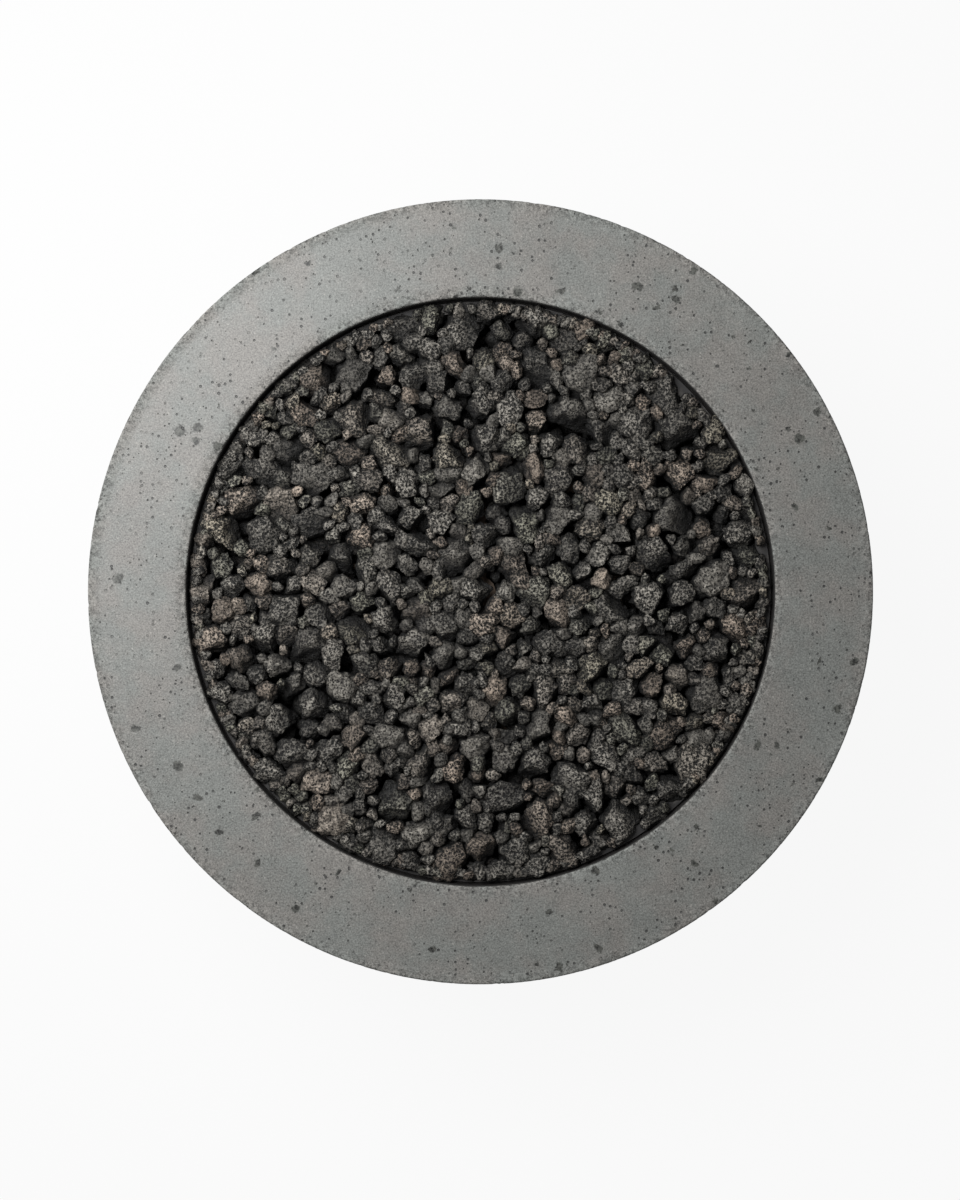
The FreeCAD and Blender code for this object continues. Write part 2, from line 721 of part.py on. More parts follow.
# Louvred vents, plugged into the openings of the drum
def vent(name, angle):
    face = "-PanelFlat - VentSheet"
    sheet_part = rounded_plate(name + "_sheet", read("PlateCorner"), "VentWidth", "VentSheet",
                               "VentHeight", ("0", face, "VentLevel"))
    wide = "VentWidth - 2 * VentLip - 2 * FitGap"
    tall = "VentHeight - 2 * VentLip - 2 * FitGap"
    sleeve = block(name + "_sleeve", wide, "VentSheet + VentSleeve", tall, ("0", face, "VentLevel"))
    room = block(name + "_room", f"{wide} - 2 * VentSheet", "VentSleeve + CutOver",
                 f"{tall} - 2 * VentSheet", ("0", "-PanelFlat", "VentLevel"))
    slots = []
    blades = []
    for number in range(SIZES["LouvreCount"]):
        middle = f"VentLevel + ({number} - (LouvreCount - 1) / 2) * LouvrePitch"
        slots.append(block(f"{name}_slot", "LouvreWidth", "VentSheet + 2 * CutOver", "LouvreSlot",
                           ("0", f"{face} - CutOver", middle)))
        blade = doc.addObject("Part::Wedge", f"{name}_blade")
        for side, text in (
            ("Xmin", "-LouvreWidth / 2"), ("X2min", "-LouvreWidth / 2"),
            ("Xmax", "LouvreWidth / 2"), ("X2max", "LouvreWidth / 2"),
            ("Ymin", "0"), ("Ymax", "LouvreReach"),
            ("Zmin", "-LouvreSlot"), ("Zmax", "VentSheet - LouvreSlot"),
            ("Z2min", "0"), ("Z2max", "VentSheet"),
        ):
            blade.setExpression(side, tied(text))
        placed(blade, ("0", f"{face} - LouvreReach", f"{middle} + LouvreSlot / 2"))
        blades.append(blade)
    frame = cut(name + "_frame", fused(name + "_blank", sheet_part, sleeve), room, *slots)
    piece(turned_about(fused(name, frame, *blades), angle), name)


vent("vent_grille_right", 90)
vent("vent_grille_left", -90)

# Service door at the back, made at the front and turned half round
frame_sheet = rounded_plate("frame_sheet", read("PlateCorner"), "FrameWidth", "DoorFrameSheet",
                            "FrameHeight", ("0", "-FrameFace", "DoorLevel"))
frame_way = block("frame_way", "FrameWidth - 2 * DoorFrameLip", "DoorFrameSheet + 2 * CutOver",
                  "FrameHeight - 2 * DoorFrameLip", ("0", "-FrameFace - CutOver", "DoorLevel"))
HINGES = [
    ("low", "DoorLevel - DoorHeight / 2 + HingeInset"),
    ("high", "DoorLevel + DoorHeight / 2 - HingeInset - 2 * HingeKnuckle"),
]
door_sheet = rounded_plate("door_sheet", read("PlateCorner"), "DoorWidth", "DoorSheet",
                           "DoorHeight", ("0", "-DoorFace", "DoorLevel"))
frame_knuckles = []
door_knuckles = []
frame_bores = []
door_bores = []
pins = []
for where, foot in HINGES:
    upper = f"{foot} + HingeKnuckle + RunningGap"
    axis = ("-PinAcross", "-PinOut")
    frame_knuckles.append(rod(f"{where}_frame_knuckle", "HingeRadius", "HingeKnuckle",
                              (*axis, foot)))
    frame_knuckles.append(block(f"{where}_frame_web", "HingeSide", "PinOut - FrameFace",
                                "HingeKnuckle", (*axis, f"{foot} + HingeKnuckle / 2")))
    door_knuckles.append(rod(f"{where}_door_knuckle", "HingeRadius", "HingeKnuckle",
                             (*axis, upper)))
    door_web_spot = ("-DoorWidth / 2", "-PinOut", f"{upper} + HingeKnuckle / 2")
    door_knuckles.append(block(f"{where}_door_web", "2 * HingeSide",
                               "PinOut - DoorBack - DoorSheet / 2", "HingeKnuckle", door_web_spot))
    frame_bores.append(rod(f"{where}_frame_bore", "HingePin", "HingeKnuckle + CutOver",
                           (*axis, f"{foot} + HingeSide / 2")))
    door_bores.append(rod(f"{where}_door_bore", "HingePin + RunningGap",
                          "HingeKnuckle + 2 * CutOver", (*axis, f"{upper} - CutOver")))
    pins.append(rod(f"{where}_pin", "HingePin", "2 * HingeKnuckle - HingeSide / 2 + RunningGap",
                    (*axis, f"{foot} + HingeSide / 2")))
piece(turned_about(cut("door_frame", fused("frame_solid", frame_sheet, *frame_knuckles), frame_way,
                       frame_holes, *frame_bores), 180), "door_frame")
piece(turned_about(cut("access_door", fused("door_solid", door_sheet, *door_knuckles),
                       *door_bores), 180), "access_door")
piece(turned_about(group("hinge_pins", *pins), 180), "hinge_pins")
piece(turned("door_pull", [
    ("0", "0"),
    ("PullNeck", "0"),
    ("PullNeck", "PullReach / 2"),
    ("PullRadius", "(PullReach + PullBevel) / 2"),
    ("PullRadius", "PullReach - PullBevel"),
    ("PullRadius - PullBevel", "PullReach"),
    ("0", "PullReach"),
], ("-PullAcross", "DoorFace", "DoorLevel"), TO_BACK), "door_pull")
magnet = block("magnet", "MagnetWidth", "MagnetDepth", "MagnetHeight", (
    "FrameWidth / 2 - DoorFrameLip - MagnetWidth / 2", "-DoorBack + MagnetGap", "DoorLevel"))
piece(turned_about(group("door_magnet", magnet), 180), "door_magnet")

# Gasket and drop-in fire pan
piece(turned("pan_gasket", [
    ("LedgeRadius + SideGap", "LedgeLevel"),
    ("PanRimRadius", "LedgeLevel"),
    ("PanRimRadius", "PanRim"),
    ("LedgeRadius + SideGap", "PanRim"),
]), "pan_gasket")
pan = turned("pan_sheet", [
    ("NippleRadius + FitGap", "PanUnder"),
    ("PanWallRadius", "PanUnder"),
    ("PanWallRadius", "PanRim"),
    ("PanRimRadius", "PanRim"),
    ("PanRimRadius", "PanRim + PanSheet"),
    ("PanWallRadius - PanSheet", "PanRim + PanSheet"),
    ("PanWallRadius - PanSheet", "PanFloor"),
    ("NippleRadius + FitGap", "PanFloor"),
])
eased(pan, "outer_bend", "PanBend + PanSheet", (read("PanWallRadius"), read("PanUnder")))
eased(pan, "inner_bend", "PanBend", (read("PanWallRadius") - read("PanSheet"), read("PanFloor")))
holes_about(pan, "drain_holes", "PanUnder", "DrainRadius", "DrainCircle", "PanSheet", 4)
ELECTRODE = ("HoodAcross - SensorSpacing", "HoodForward", "PanUnder - SensorDrop")
PROBE = ("HoodAcross + SensorSpacing", "HoodForward", "PanUnder - SensorDrop")
SENSOR_LENGTH = "SensorDrop + PanSheet + SensorHeight"
sensor_holes = [
    rod("electrode_hole", "ElectrodeRadius + FitGap", "SensorDrop + 2 * CutOver", ELECTRODE),
    rod("probe_hole", "ProbeRadius + FitGap", "SensorDrop + 2 * CutOver", PROBE),
]
piece(cut("burner_pan", pan, *sensor_holes), "burner_pan")

# Ring burner: a rolled box tube with four spokes on a hub, ported on top, on four feet
def ring_bar(name, inset):
    """The ring and its spokes, drawn in on every side by the inset."""
    outer = rod(name + "_outer", f"BurnerRadius + TubeWidth / 2 - {inset}",
                f"TubeHeight - 2 * {inset}", ("0", "0", f"TubeUnder + {inset}"))
    inner = rod(name + "_inner", f"BurnerRadius - TubeWidth / 2 + {inset}",
                f"TubeHeight - 2 * {inset}", ("0", "0", f"TubeUnder + {inset}"))
    spokes = []
    for direction in ("across", "along"):
        wide = "2 * BurnerRadius" if direction == "across" else f"SpokeWidth - 2 * {inset}"
        deep = "2 * BurnerRadius" if direction == "along" else f"SpokeWidth - 2 * {inset}"
        spokes.append(block(f"{name}_{direction}", wide, deep, f"TubeHeight - 2 * {inset}",
                            ("0", f"-({deep}) / 2", "TubeUnder + TubeHeight / 2")))
    return [cut(name + "_ring", outer, inner), *spokes]


hub = rod("burner_hub", "HubRadius", "TubeTop - HubUnder", ("0", "0", "HubUnder"))
foot = rod("burner_foot", "BurnerFootRadius", "BurnerLift", ("BurnerRadius", "0", "PanFloor"))
burner_solid = fused("burner_solid", *ring_bar("burner", "0"), hub, *copies_about(foot, 4, 45))
hub_socket = rod("hub_socket", "NippleRadius + RunningGap", "NippleGrip", ("0", "0", "HubUnder"))
hub_room = rod("hub_room", "NippleBore", "TubeTop - TubeWall - HubUnder", ("0", "0", "HubUnder"))
port = rod("burner_port", "PortRadius", "TubeWall + CutOver",
           ("BurnerRadius", "0", "TubeTop - TubeWall - RunningGap"))
burner_ports = copies_about(port, SIZES["PortCount"], 15)
piece(cut("ring_burner", burner_solid, *ring_bar("burner_room", "TubeWall"), hub_socket, hub_room,
          *burner_ports), "ring_burner")

# Nipple through the pan floor, held by a nut and washer on each side
nipple = rod("nipple_bar", "NippleRadius", "NippleTop - NippleEnd", ("0", "0", "NippleEnd"))
nipple_bore = rod("nipple_bore", "NippleBore", "NippleTop - NippleEnd", ("0", "0", "NippleEnd"))
piece(cut("burner_nipple", nipple, nipple_bore), "burner_nipple")
nipple_way = rod("nipple_way", "NippleRadius + RunningGap", "NippleTop - NippleEnd",
                 ("0", "0", "NippleEnd"))
washers = []
nuts = []
for where, level in (("upper", "PanFloor"), ("lower", "PanUnder - WasherThickness")):
    washer = rod(f"{where}_washer", "WasherRadius", "WasherThickness", ("0", "0", level))
    washers.append(cut(f"{where}_washer_holed", washer, nipple_way))
for where, level in (("upper", "PanFloor + WasherThickness"),
                     ("lower", "PanUnder - WasherThickness - LocknutHeight")):
    nut = hexagon(f"{where}_nut", "LocknutFlats", "LocknutHeight", ("0", "0", level))
    nuts.append(cut(f"{where}_nut_holed", nut, nipple_way))
piece(group("pan_washers", *washers), "pan_washers")
piece(group("pan_locknuts", *nuts), "pan_locknuts")

# Air mixer below the nipple, with four air holes and a flare end
mixer = turned("mixer_body", [
    ("FlareBore", "-FlareLength"),
    ("FlareRadius", "-FlareLength"),
    ("FlareRadius", "0"),
    ("MixerRadius", "0"),
    ("MixerRadius", "MixerLength"),
    ("NippleRadius + RunningGap", "MixerLength"),
    ("NippleRadius + RunningGap", "MixerLength - MixerGrip"),
    ("NippleBore", "MixerLength - MixerGrip"),
    ("NippleBore", "FlareBore"),
    ("FlareBore", "FlareBore"),
], ("0", "0", "MixerEnd"))
air_across = rod("air_across", "MixerHole", "2 * MixerRadius + CutOver",
                 ("-MixerRadius - CutOver / 2", "0", "MixerEnd + MixerLength / 2"), TO_SIDE)
air_along = rod("air_along", "MixerHole", "2 * MixerRadius + CutOver",
                ("0", "-MixerRadius - CutOver / 2", "MixerEnd + MixerLength / 2"), TO_BACK)
piece(cut("air_mixer", mixer, air_across, air_along), "air_mixer")

# Gas inlet through the drum wall, with its nut
piece(turned("gas_inlet", [
    ("FlareBore", "-InletBossDepth - InletHexHeight - FlareLength"),
    ("FlareRadius", "-InletBossDepth - InletHexHeight - FlareLength"),
    ("FlareRadius", "-InletBossDepth - InletHexHeight"),
    ("InletThread", "-InletBossDepth - InletHexHeight"),
    ("InletThread", "0"),
    ("InletFlats / 2", "0"),
    ("InletFlats / 2", "InletHexHeight"),
    ("FlareRadius", "InletHexHeight"),
    ("FlareRadius", "InletHexHeight + FlareLength"),
    ("FlareBore", "InletHexHeight + FlareLength"),
], INLET, TO_FRONT), "gas_inlet")
inlet_nut = hexagon("inlet_nut_bar", "InletFlats", "InletHexHeight",
                    ("InletAcross", "-InletBack", "InletLevel"), TO_BACK)
inlet_nut_bore = rod("inlet_nut_bore", "InletThread + RunningGap", "InletHexHeight",
                     ("InletAcross", "-InletBack", "InletLevel"), TO_BACK)
piece(cut("gas_inlet_nut", inlet_nut, inlet_nut_bore), "gas_inlet_nut")


# Hoses and leads: straight runs joined by tangent arcs
def route(points):
    """A path along the points, with an arc at each bend as large as its two runs allow."""
    points = [FreeCAD.Vector(*point) for point in points]
    edges = []
    radii = []
    start = points[0]
    for before, corner, after in zip(points, points[1:], points[2:]):
        inward = (before - corner).normalize()
        outward = (after - corner).normalize()
        half_turn = (math.pi - inward.getAngle(outward)) / 2
        reach = 0.45 * min((before - corner).Length, (after - corner).Length)
        radius = reach / math.tan(half_turn)
        first = corner + inward * reach
        last = corner + outward * reach
        bisector = (inward + outward).normalize()
        middle = corner + bisector * (radius / math.cos(half_turn) - radius)
        edges.append(Part.LineSegment(start, first).toShape())
        edges.append(Part.Arc(first, middle, last).toShape())
        radii.append(radius)
        start = last
    edges.append(Part.LineSegment(start, points[-1]).toShape())
    return Part.Wire(edges), radii


def hose(label, points, radius, sides=None):
    path, radii = route(points)
    first = path.Edges[0]
    start = first.valueAt(first.FirstParameter)
    heading = first.tangentAt(first.FirstParameter)
    if sides is None:
        section = Part.Wire(Part.makeCircle(radius, start, heading))
    else:
        turn = FreeCAD.Rotation(ABOUT, heading)
        angles = [2 * math.pi * i / sides for i in range(sides + 1)]
        section = Part.makePolygon([
            start + turn.multVec(FreeCAD.Vector(math.cos(a), math.sin(a), 0) * radius)
            for a in angles
        ])
    shape = path.makePipeShell([section], True, False)
    expected = Part.Face(section).Area * path.Length
    print(label, "length", round(path.Length, 1), "radii", [round(r) for r in radii],
          "volume over section times length", round(shape.Volume / expected, 4))
    item = doc.addObject("Part::Feature", label)
    item.Shape = shape
    return piece(item, label)


def nut_on_hose(name, spot, turn):
    """A flare nut that covers a flare end and the first of the hose."""
    bar = hexagon(name + "_bar", "HoseNutFlats", "HoseNutLength", spot, turn)
    bore = rod(name + "_bore", "HoseRadius + RunningGap", "HoseNutLength", spot, turn)
    return cut(name, bar, bore)


def led(start, end, shares):
    """Points between two ends, each given as its shares of the way in x, y and z."""
    return [start] + [
        tuple(a + (b - a) * share for a, b, share in zip(start, end, point)) for point in shares
    ] + [end]


valve_x = -read("ControlSpacing")
flare_y = -read("ValveFlareEnd")
port_z = read("PortLevel")
hose("burner_hose", led(
    (valve_x + read("PortSpacing"), flare_y, port_z),
    (0, 0, read("MixerFlareEnd")),
    [
        (0, 0.19, 0),
        (0.16, 0.4, -1.76),
        (0.47, 0.62, -4.12),
        (1, 0.86, -4.42),
        (1, 1, -2.24),
    ],
), read("HoseRadius"))
intake = (valve_x - read("PortSpacing"), flare_y, port_z)
supply = (read("InletAcross"), -read("InletEnd"), read("InletLevel"))
span = math.hypot(intake[0] - supply[0], intake[2] - supply[2])
hose("inlet_hose", [
    supply,
    (supply[0], supply[1] + 0.6 * span, supply[2]),
    ((supply[0] + intake[0]) / 2, supply[1] + 0.9 * span, (supply[2] + intake[2]) / 2),
    (intake[0], supply[1] + 0.6 * span, intake[2]),
    intake,
], read("HoseRadius"))
out_x, back_y, rise_z = VALVE_PORTS[0]
in_x = VALVE_PORTS[1][0]
piece(group(
    "burner_hose_nuts",
    nut_on_hose("outlet_nut", (out_x, f"{back_y} + RunningGap", rise_z), TO_BACK),
    nut_on_hose("mixer_nut", ("0", "0", "MixerEnd - HoseNutLength - RunningGap"), UPRIGHT),
), "burner_hose_nuts")
piece(group(
    "inlet_hose_nuts",
    nut_on_hose("intake_nut", (in_x, f"{back_y} + RunningGap", rise_z), TO_BACK),
    nut_on_hose("inlet_flare_nut", ("InletAcross", "-InletBack + InletHexHeight + RunningGap",
                                    "InletLevel"), TO_BACK),
), "inlet_hose_nuts")

# Hood, spark electrode and flame sensor beside the hub, with their leads
HOOD = ("HoodAcross", "HoodForward - HoodLength / 2", "PanFloor + HoodHeight / 2")
hood_blank = block("hood_blank", "HoodWidth", "HoodLength", "HoodHeight", HOOD)
hood_room = block("hood_room", "HoodWidth - 2 * HoodSheet", "HoodLength - HoodSheet + CutOver",
                  "HoodHeight - HoodSheet + CutOver",
                  ("HoodAcross", "HoodForward - HoodLength / 2 - CutOver",
                   "PanFloor + (HoodHeight - HoodSheet - CutOver) / 2"))
piece(cut("sensor_hood", hood_blank, hood_room), "sensor_hood")
insulator = rod("insulator_bar", "ElectrodeRadius", SENSOR_LENGTH, ELECTRODE)
TIP = (ELECTRODE[0], ELECTRODE[1], "PanFloor + SensorHeight - ElectrodeGrip")
insulator_bore = rod("insulator_bore", "ElectrodeTip + RunningGap", "ElectrodeGrip + CutOver", TIP)
piece(cut("electrode_insulator", insulator, insulator_bore), "electrode_insulator")
piece(rod("electrode_rod", "ElectrodeTip", "1.5 * ElectrodeGrip", TIP), "electrode_rod")
piece(rod("thermocouple", "ProbeRadius", SENSOR_LENGTH, PROBE), "thermocouple")

sensor_z = read("PanUnder") - read("SensorDrop")
hose("igniter_lead", led(
    (read("HoodAcross") - read("SensorSpacing"), read("HoodForward"), sensor_z),
    (read("ControlSpacing"), -read("IgniterBack"), read("PanelLevel")),
    [
        (0, 0, 0.28),
        (0.22, 0.135, 0.45),
        (0.33, 0.29, 0.43),
        (0.56, 0.45, 0.52),
        (0.78, 0.6, 0.69),
        (1, 0.74, 0.96),
        (1, 0.885, 1),
    ],
), read("LeadRadius"), sides=8)
hose("thermocouple_lead", led(
    (read("HoodAcross") + read("SensorSpacing"), read("HoodForward"), sensor_z),
    (valve_x, -read("ValveBack"), read("PanelLevel") - read("ProbeDrop")),
    [
        (0, 0, 0.2),
        (0.07, 0.11, 0.3),
        (0.21, 0.245, 0.35),
        (0.37, 0.375, 0.3),
        (0.54, 0.51, 0.39),
        (0.74, 0.64, 0.5),
        (0.91, 0.765, 0.74),
        (1, 0.887, 1),
    ],
), read("LeadRadius"), sides=8)

# Lava rock: the packed bed round the burner, and the faceted stones of the top layer
bed = turned("rock_bed", [
    ("0", "PanFloor"),
    ("PanWallRadius - PanSheet - SideGap - PanBend", "PanFloor"),
    ("PanWallRadius - PanSheet - SideGap", "PanFloor + PanBend"),
    ("PanWallRadius - PanSheet - SideGap", "PanRim + PanSheet"),
    ("RockRadius", "PanRim + PanSheet"),
    ("RockRadius", "RockBed"),
    ("0", "RockBed"),
])
channel_height = "TubeTop + RockCover - PanFloor"
channel_outer = rod("channel_outer", "BurnerRadius + TubeWidth / 2 + RockCover", channel_height,
                    ("0", "0", "PanFloor"))
channel_inner = rod("channel_inner", "BurnerRadius - TubeWidth / 2 - RockCover", channel_height,
                    ("0", "0", "PanFloor"))
channels = [cut("ring_channel", channel_outer, channel_inner)]
for direction in ("across", "along"):
    run = "2 * BurnerRadius"
    slot = "SpokeWidth + 2 * RockCover"
    channels.append(block(f"spoke_channel_{direction}", run if direction == "across" else slot,
                          slot if direction == "across" else run, channel_height,
                          ("0", f"-({slot if direction == 'across' else run}) / 2",
                           f"PanFloor + ({channel_height}) / 2")))
channels.append(rod("hub_channel", "HubRadius + RockCover", channel_height, ("0", "0", "PanFloor")))
channels.append(block("hood_channel", "HoodWidth + 2 * RockCover", "HoodLength + 2 * RockCover",
                      "HoodHeight + RockCover",
                      ("HoodAcross", "HoodForward - HoodLength / 2 - RockCover",
                       "PanFloor + (HoodHeight + RockCover) / 2")))
piece(cut("lava_fill", bed, *channels), "lava_fill")


def clipped(faces, normal, limit):
    """A convex solid, as a list of faces, without what lies past a plane."""
    kept = []
    rim = []
    for face in faces:
        new = []
        for here, there in zip(face, face[1:] + face[:1]):
            past_here = here.dot(normal) - limit
            past_there = there.dot(normal) - limit
            if past_here <= 0:
                new.append(here)
            if past_here * past_there < 0:
                crossing = here + (there - here) * (past_here / (past_here - past_there))
                new.append(crossing)
                rim.append(crossing)
        if len(new) > 2:
            kept.append(new)
    if len(rim) < 3:
        return kept
    centre = sum(rim, FreeCAD.Vector()) / len(rim)
    along = (rim[0] - centre).normalize()
    across = normal.cross(along)
    spread = sorted(rim, key=lambda p: math.atan2((p - centre).dot(across), (p - centre).dot(along)))
    cap = [p for p, after in zip(spread, spread[1:] + spread[:1]) if (p - after).Length > 1e-6]
    return kept + [cap]


def box_faces(half, low, high, turn):
    """The faces of an upright box about the axis, turned by an angle."""
    corners = [
        FreeCAD.Vector(math.cos(turn + quarter * math.pi / 2), math.sin(turn + quarter * math.pi / 2), 0)
        * half * math.sqrt(2)
        for quarter in range(4)
    ]
    up, down = FreeCAD.Vector(0, 0, high), FreeCAD.Vector(0, 0, low)
    sides = [
        [a + down, b + down, b + up, a + up] for a, b in zip(corners, corners[1:] + corners[:1])
    ]
    return sides + [[p + up for p in corners], [p + down for p in reversed(corners)]]


STONES_SHARE = 0.84
SETTLE_ROUNDS = 120


def stone_spots(chance):
    """Uneven stones pushed apart until they fill the bed: the x, y and radius of each."""
    edge = read("RockRadius")
    small = read("RockSmall") / 2
    spread = read("RockLarge") / 2 - small
    stones = []
    filled = 0
    while filled < STONES_SHARE * edge ** 2:
        radius = small + spread * chance.random() ** 2
        away = (edge - radius) * math.sqrt(chance.random())
        angle = chance.uniform(0, 2 * math.pi)
        stones.append([away * math.cos(angle), away * math.sin(angle), radius])
        filled += radius ** 2
    for _ in range(SETTLE_ROUNDS):
        for number, one in enumerate(stones):
            for other in stones[:number]:
                x, y = one[0] - other[0], one[1] - other[1]
                apart = math.hypot(x, y)
                if 0 < apart < one[2] + other[2]:
                    push = ((one[2] + other[2]) / apart - 1) / 2
                    one[0] += push * x
                    one[1] += push * y
                    other[0] -= push * x
                    other[1] -= push * y
        for one in stones:
            pull = min(1, (edge - one[2]) / math.hypot(one[0], one[1]))
            one[0] *= pull
            one[1] *= pull
    return stones


BOX_SHARE = 1.12
REACH = 1.5
SIDE_TILT = math.radians(22)
RISE_SHARE = 0.95
WALL_LEANS = (-8, 0, 8)
FACETS = 3
FACET_SWAY = 0.15
FACET_SLOPES = (12, 28)
APEX_SHARE = 0.22


def stone(chance, spot, others):
    """One faceted stone with a flat bed face, kept inside its own share of the bed."""
    x, y, radius = spot
    low = read("RockBed")
    peak = low + min(read("RockHeight"), radius * RISE_SHARE)
    middle = FreeCAD.Vector(x, y, 0)
    faces = box_faces(BOX_SHARE * radius, low, peak, chance.uniform(0, math.pi))
    for other in others:
        apart = FreeCAD.Vector(other[0] - x, other[1] - y, 0)
        distance = apart.Length
        if 0 < distance < REACH * (radius + other[2]):
            share = (distance ** 2 + radius ** 2 - other[2] ** 2) / (2 * distance)
            side = apart * (math.cos(SIDE_TILT) / distance) + ABOUT * math.sin(SIDE_TILT)
            foot = apart * ((share - read("RockGap") / 2) / distance) + ABOUT * low
            faces = clipped(faces, side, foot.dot(side))
    if middle.Length + REACH * radius > read("RockRadius"):
        for lean in WALL_LEANS:
            angle = math.atan2(y, x) + math.radians(lean)
            out = FreeCAD.Vector(math.cos(angle), math.sin(angle), 0)
            faces = clipped(faces, out, read("RockRadius") - out.dot(middle))
    start = chance.uniform(0, 2 * math.pi)
    peak -= chance.uniform(0, read("RockUneven")) * read("RockSmall") / 2 / radius
    lean = APEX_SHARE * radius
    for number in range(FACETS):
        angle = start + 2 * math.pi * (number + chance.uniform(-FACET_SWAY, FACET_SWAY)) / FACETS
        slope = math.radians(chance.uniform(*FACET_SLOPES))
        level = math.sin(slope)
        normal = FreeCAD.Vector(level * math.cos(angle), level * math.sin(angle), math.cos(slope))
        apex = FreeCAD.Vector(chance.uniform(-lean, lean), chance.uniform(-lean, lean), peak)
        faces = clipped(faces, normal, apex.dot(normal))
    skins = [Part.Face(Part.makePolygon([p + middle for p in face + face[:1]])) for face in faces]
    return Part.Solid(Part.Shell(skins))


def stones_shape():
    chance = random.Random(11)
    spots = stone_spots(chance)
    return Part.makeCompound([stone(chance, spot, spots) for spot in spots])


stones = doc.addObject("Part::Feature", "lava_rocks")
stones.Shape = stones_shape()
piece(stones, "lava_rocks")

doc.recompute()
for item in doc.Objects:
    if "Invalid" in item.State or "Error" in item.State:
        raise RuntimeError(f"{item.Label} failed: {item.State}")
for item in pieces:
    if item.Shape.isNull() or not item.Shape.isValid() or not item.Shape.Solids:
        raise RuntimeError(f"{item.Label} is not a sound solid")

os.makedirs("parts", exist_ok=True)
for item in pieces:
    item.Shape.exportStep(f"parts/{item.Label}.step")
print(len(pieces), "pieces written")
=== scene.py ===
import math

import bmesh
import bpy
import numpy as np
from mathutils import Matrix, Vector


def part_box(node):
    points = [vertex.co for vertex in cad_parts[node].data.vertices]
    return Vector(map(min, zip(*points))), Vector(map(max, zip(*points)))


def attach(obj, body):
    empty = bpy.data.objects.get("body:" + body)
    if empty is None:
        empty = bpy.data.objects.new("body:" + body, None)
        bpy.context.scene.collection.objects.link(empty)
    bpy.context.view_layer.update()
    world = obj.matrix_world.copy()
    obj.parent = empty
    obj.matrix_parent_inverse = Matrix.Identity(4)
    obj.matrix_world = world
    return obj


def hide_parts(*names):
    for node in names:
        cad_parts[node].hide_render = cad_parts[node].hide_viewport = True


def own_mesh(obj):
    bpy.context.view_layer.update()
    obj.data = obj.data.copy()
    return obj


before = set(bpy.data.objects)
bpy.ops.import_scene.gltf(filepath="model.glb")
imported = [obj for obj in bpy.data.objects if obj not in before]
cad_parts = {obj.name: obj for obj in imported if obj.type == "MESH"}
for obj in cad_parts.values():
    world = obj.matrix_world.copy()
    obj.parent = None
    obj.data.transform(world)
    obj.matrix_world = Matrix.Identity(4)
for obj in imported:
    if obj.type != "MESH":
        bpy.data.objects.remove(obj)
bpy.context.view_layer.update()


# Drum. A shell cast from grey glass-fibre concrete in a steel mould, with flanges at its seat
# and foot and flat recesses for the fittings. It stands on the ground by its own weight.
def fed(tree, socket, value):
    """Joins a socket to another one, or sets its value."""
    if isinstance(value, bpy.types.NodeSocket):
        tree.links.new(value, socket)
    else:
        socket.default_value = value


def joined(tree, kind, settings=None, **inputs):
    """Adds a node, and joins or sets its inputs by name."""
    node = tree.nodes.new(kind)
    for name, value in (settings or {}).items():
        setattr(node, name, value)
    for name, value in inputs.items():
        fed(tree, node.inputs[name.replace("_", " ")], value)
    return node


def reckoned(tree, operation, *values):
    """A sum worked out by a Math node."""
    node = joined(tree, "ShaderNodeMath", {"operation": operation})
    for socket, value in zip(node.inputs, values):
        fed(tree, socket, value)
    return node.outputs[0]


def vector(tree, operation, first, second):
    """A vector worked out by a Vector Math node, or the number that a dot product gives."""
    node = joined(tree, "ShaderNodeVectorMath", {"operation": operation})
    fed(tree, node.inputs[0], first)
    fed(tree, node.inputs["Scale" if operation == "SCALE" else 1], second)
    return node.outputs["Value" if operation == "DOT_PRODUCT" else "Vector"]


def eased(tree, value, low, high, to_low=0.0, to_high=1.0):
    """A value carried smoothly from one range to another."""
    node = joined(tree, "ShaderNodeMapRange", {"interpolation_type": "SMOOTHSTEP"},
                  Value=value, From_Min=low, From_Max=high, To_Min=to_low, To_Max=to_high)
    return node.outputs["Result"]


def tinted(tree, share, plain, other):
    """One colour laid over another by a share."""
    node = tree.nodes.new("ShaderNodeMix")
    node.data_type = "RGBA"
    for name, value in (("Factor_Float", share), ("A_Color", plain), ("B_Color", other)):
        fed(tree, next(item for item in node.inputs if item.identifier == name), value)
    return next(item for item in node.outputs if item.identifier == "Result_Color")


def noise(tree, place, spacing, detail=2.0, roughness=0.5):
    """Cloudy noise whose lumps are about as far apart as the spacing, in metres."""
    node = joined(tree, "ShaderNodeTexNoise", Vector=place, Detail=detail, Roughness=roughness)
    if isinstance(spacing, bpy.types.NodeSocket):
        tree.links.new(reckoned(tree, "DIVIDE", 1.0, spacing), node.inputs["Scale"])
    else:
        node.inputs["Scale"].default_value = 1.0 / spacing
    return node.outputs[0]


def effect(name, inputs, outputs):
    """An empty shader group with named inputs and outputs."""
    tree = bpy.data.node_groups.new(name, "ShaderNodeTree")
    for label, value in inputs.items():
        kind = "NodeSocketVector" if value is None else "NodeSocketFloat"
        socket = tree.interface.new_socket(label, in_out="INPUT", socket_type=kind)
        if value is not None:
            socket.default_value = value
    for label in outputs:
        tree.interface.new_socket(label, in_out="OUTPUT", socket_type="NodeSocketFloat")
    return tree, tree.nodes.new("NodeGroupInput").outputs, tree.nodes.new("NodeGroupOutput").inputs


def used(tree, group, **inputs):
    """A shader group placed in a material with its own values."""
    node = joined(tree, "ShaderNodeGroup", {"node_tree": group}, **inputs)
    return node.outputs


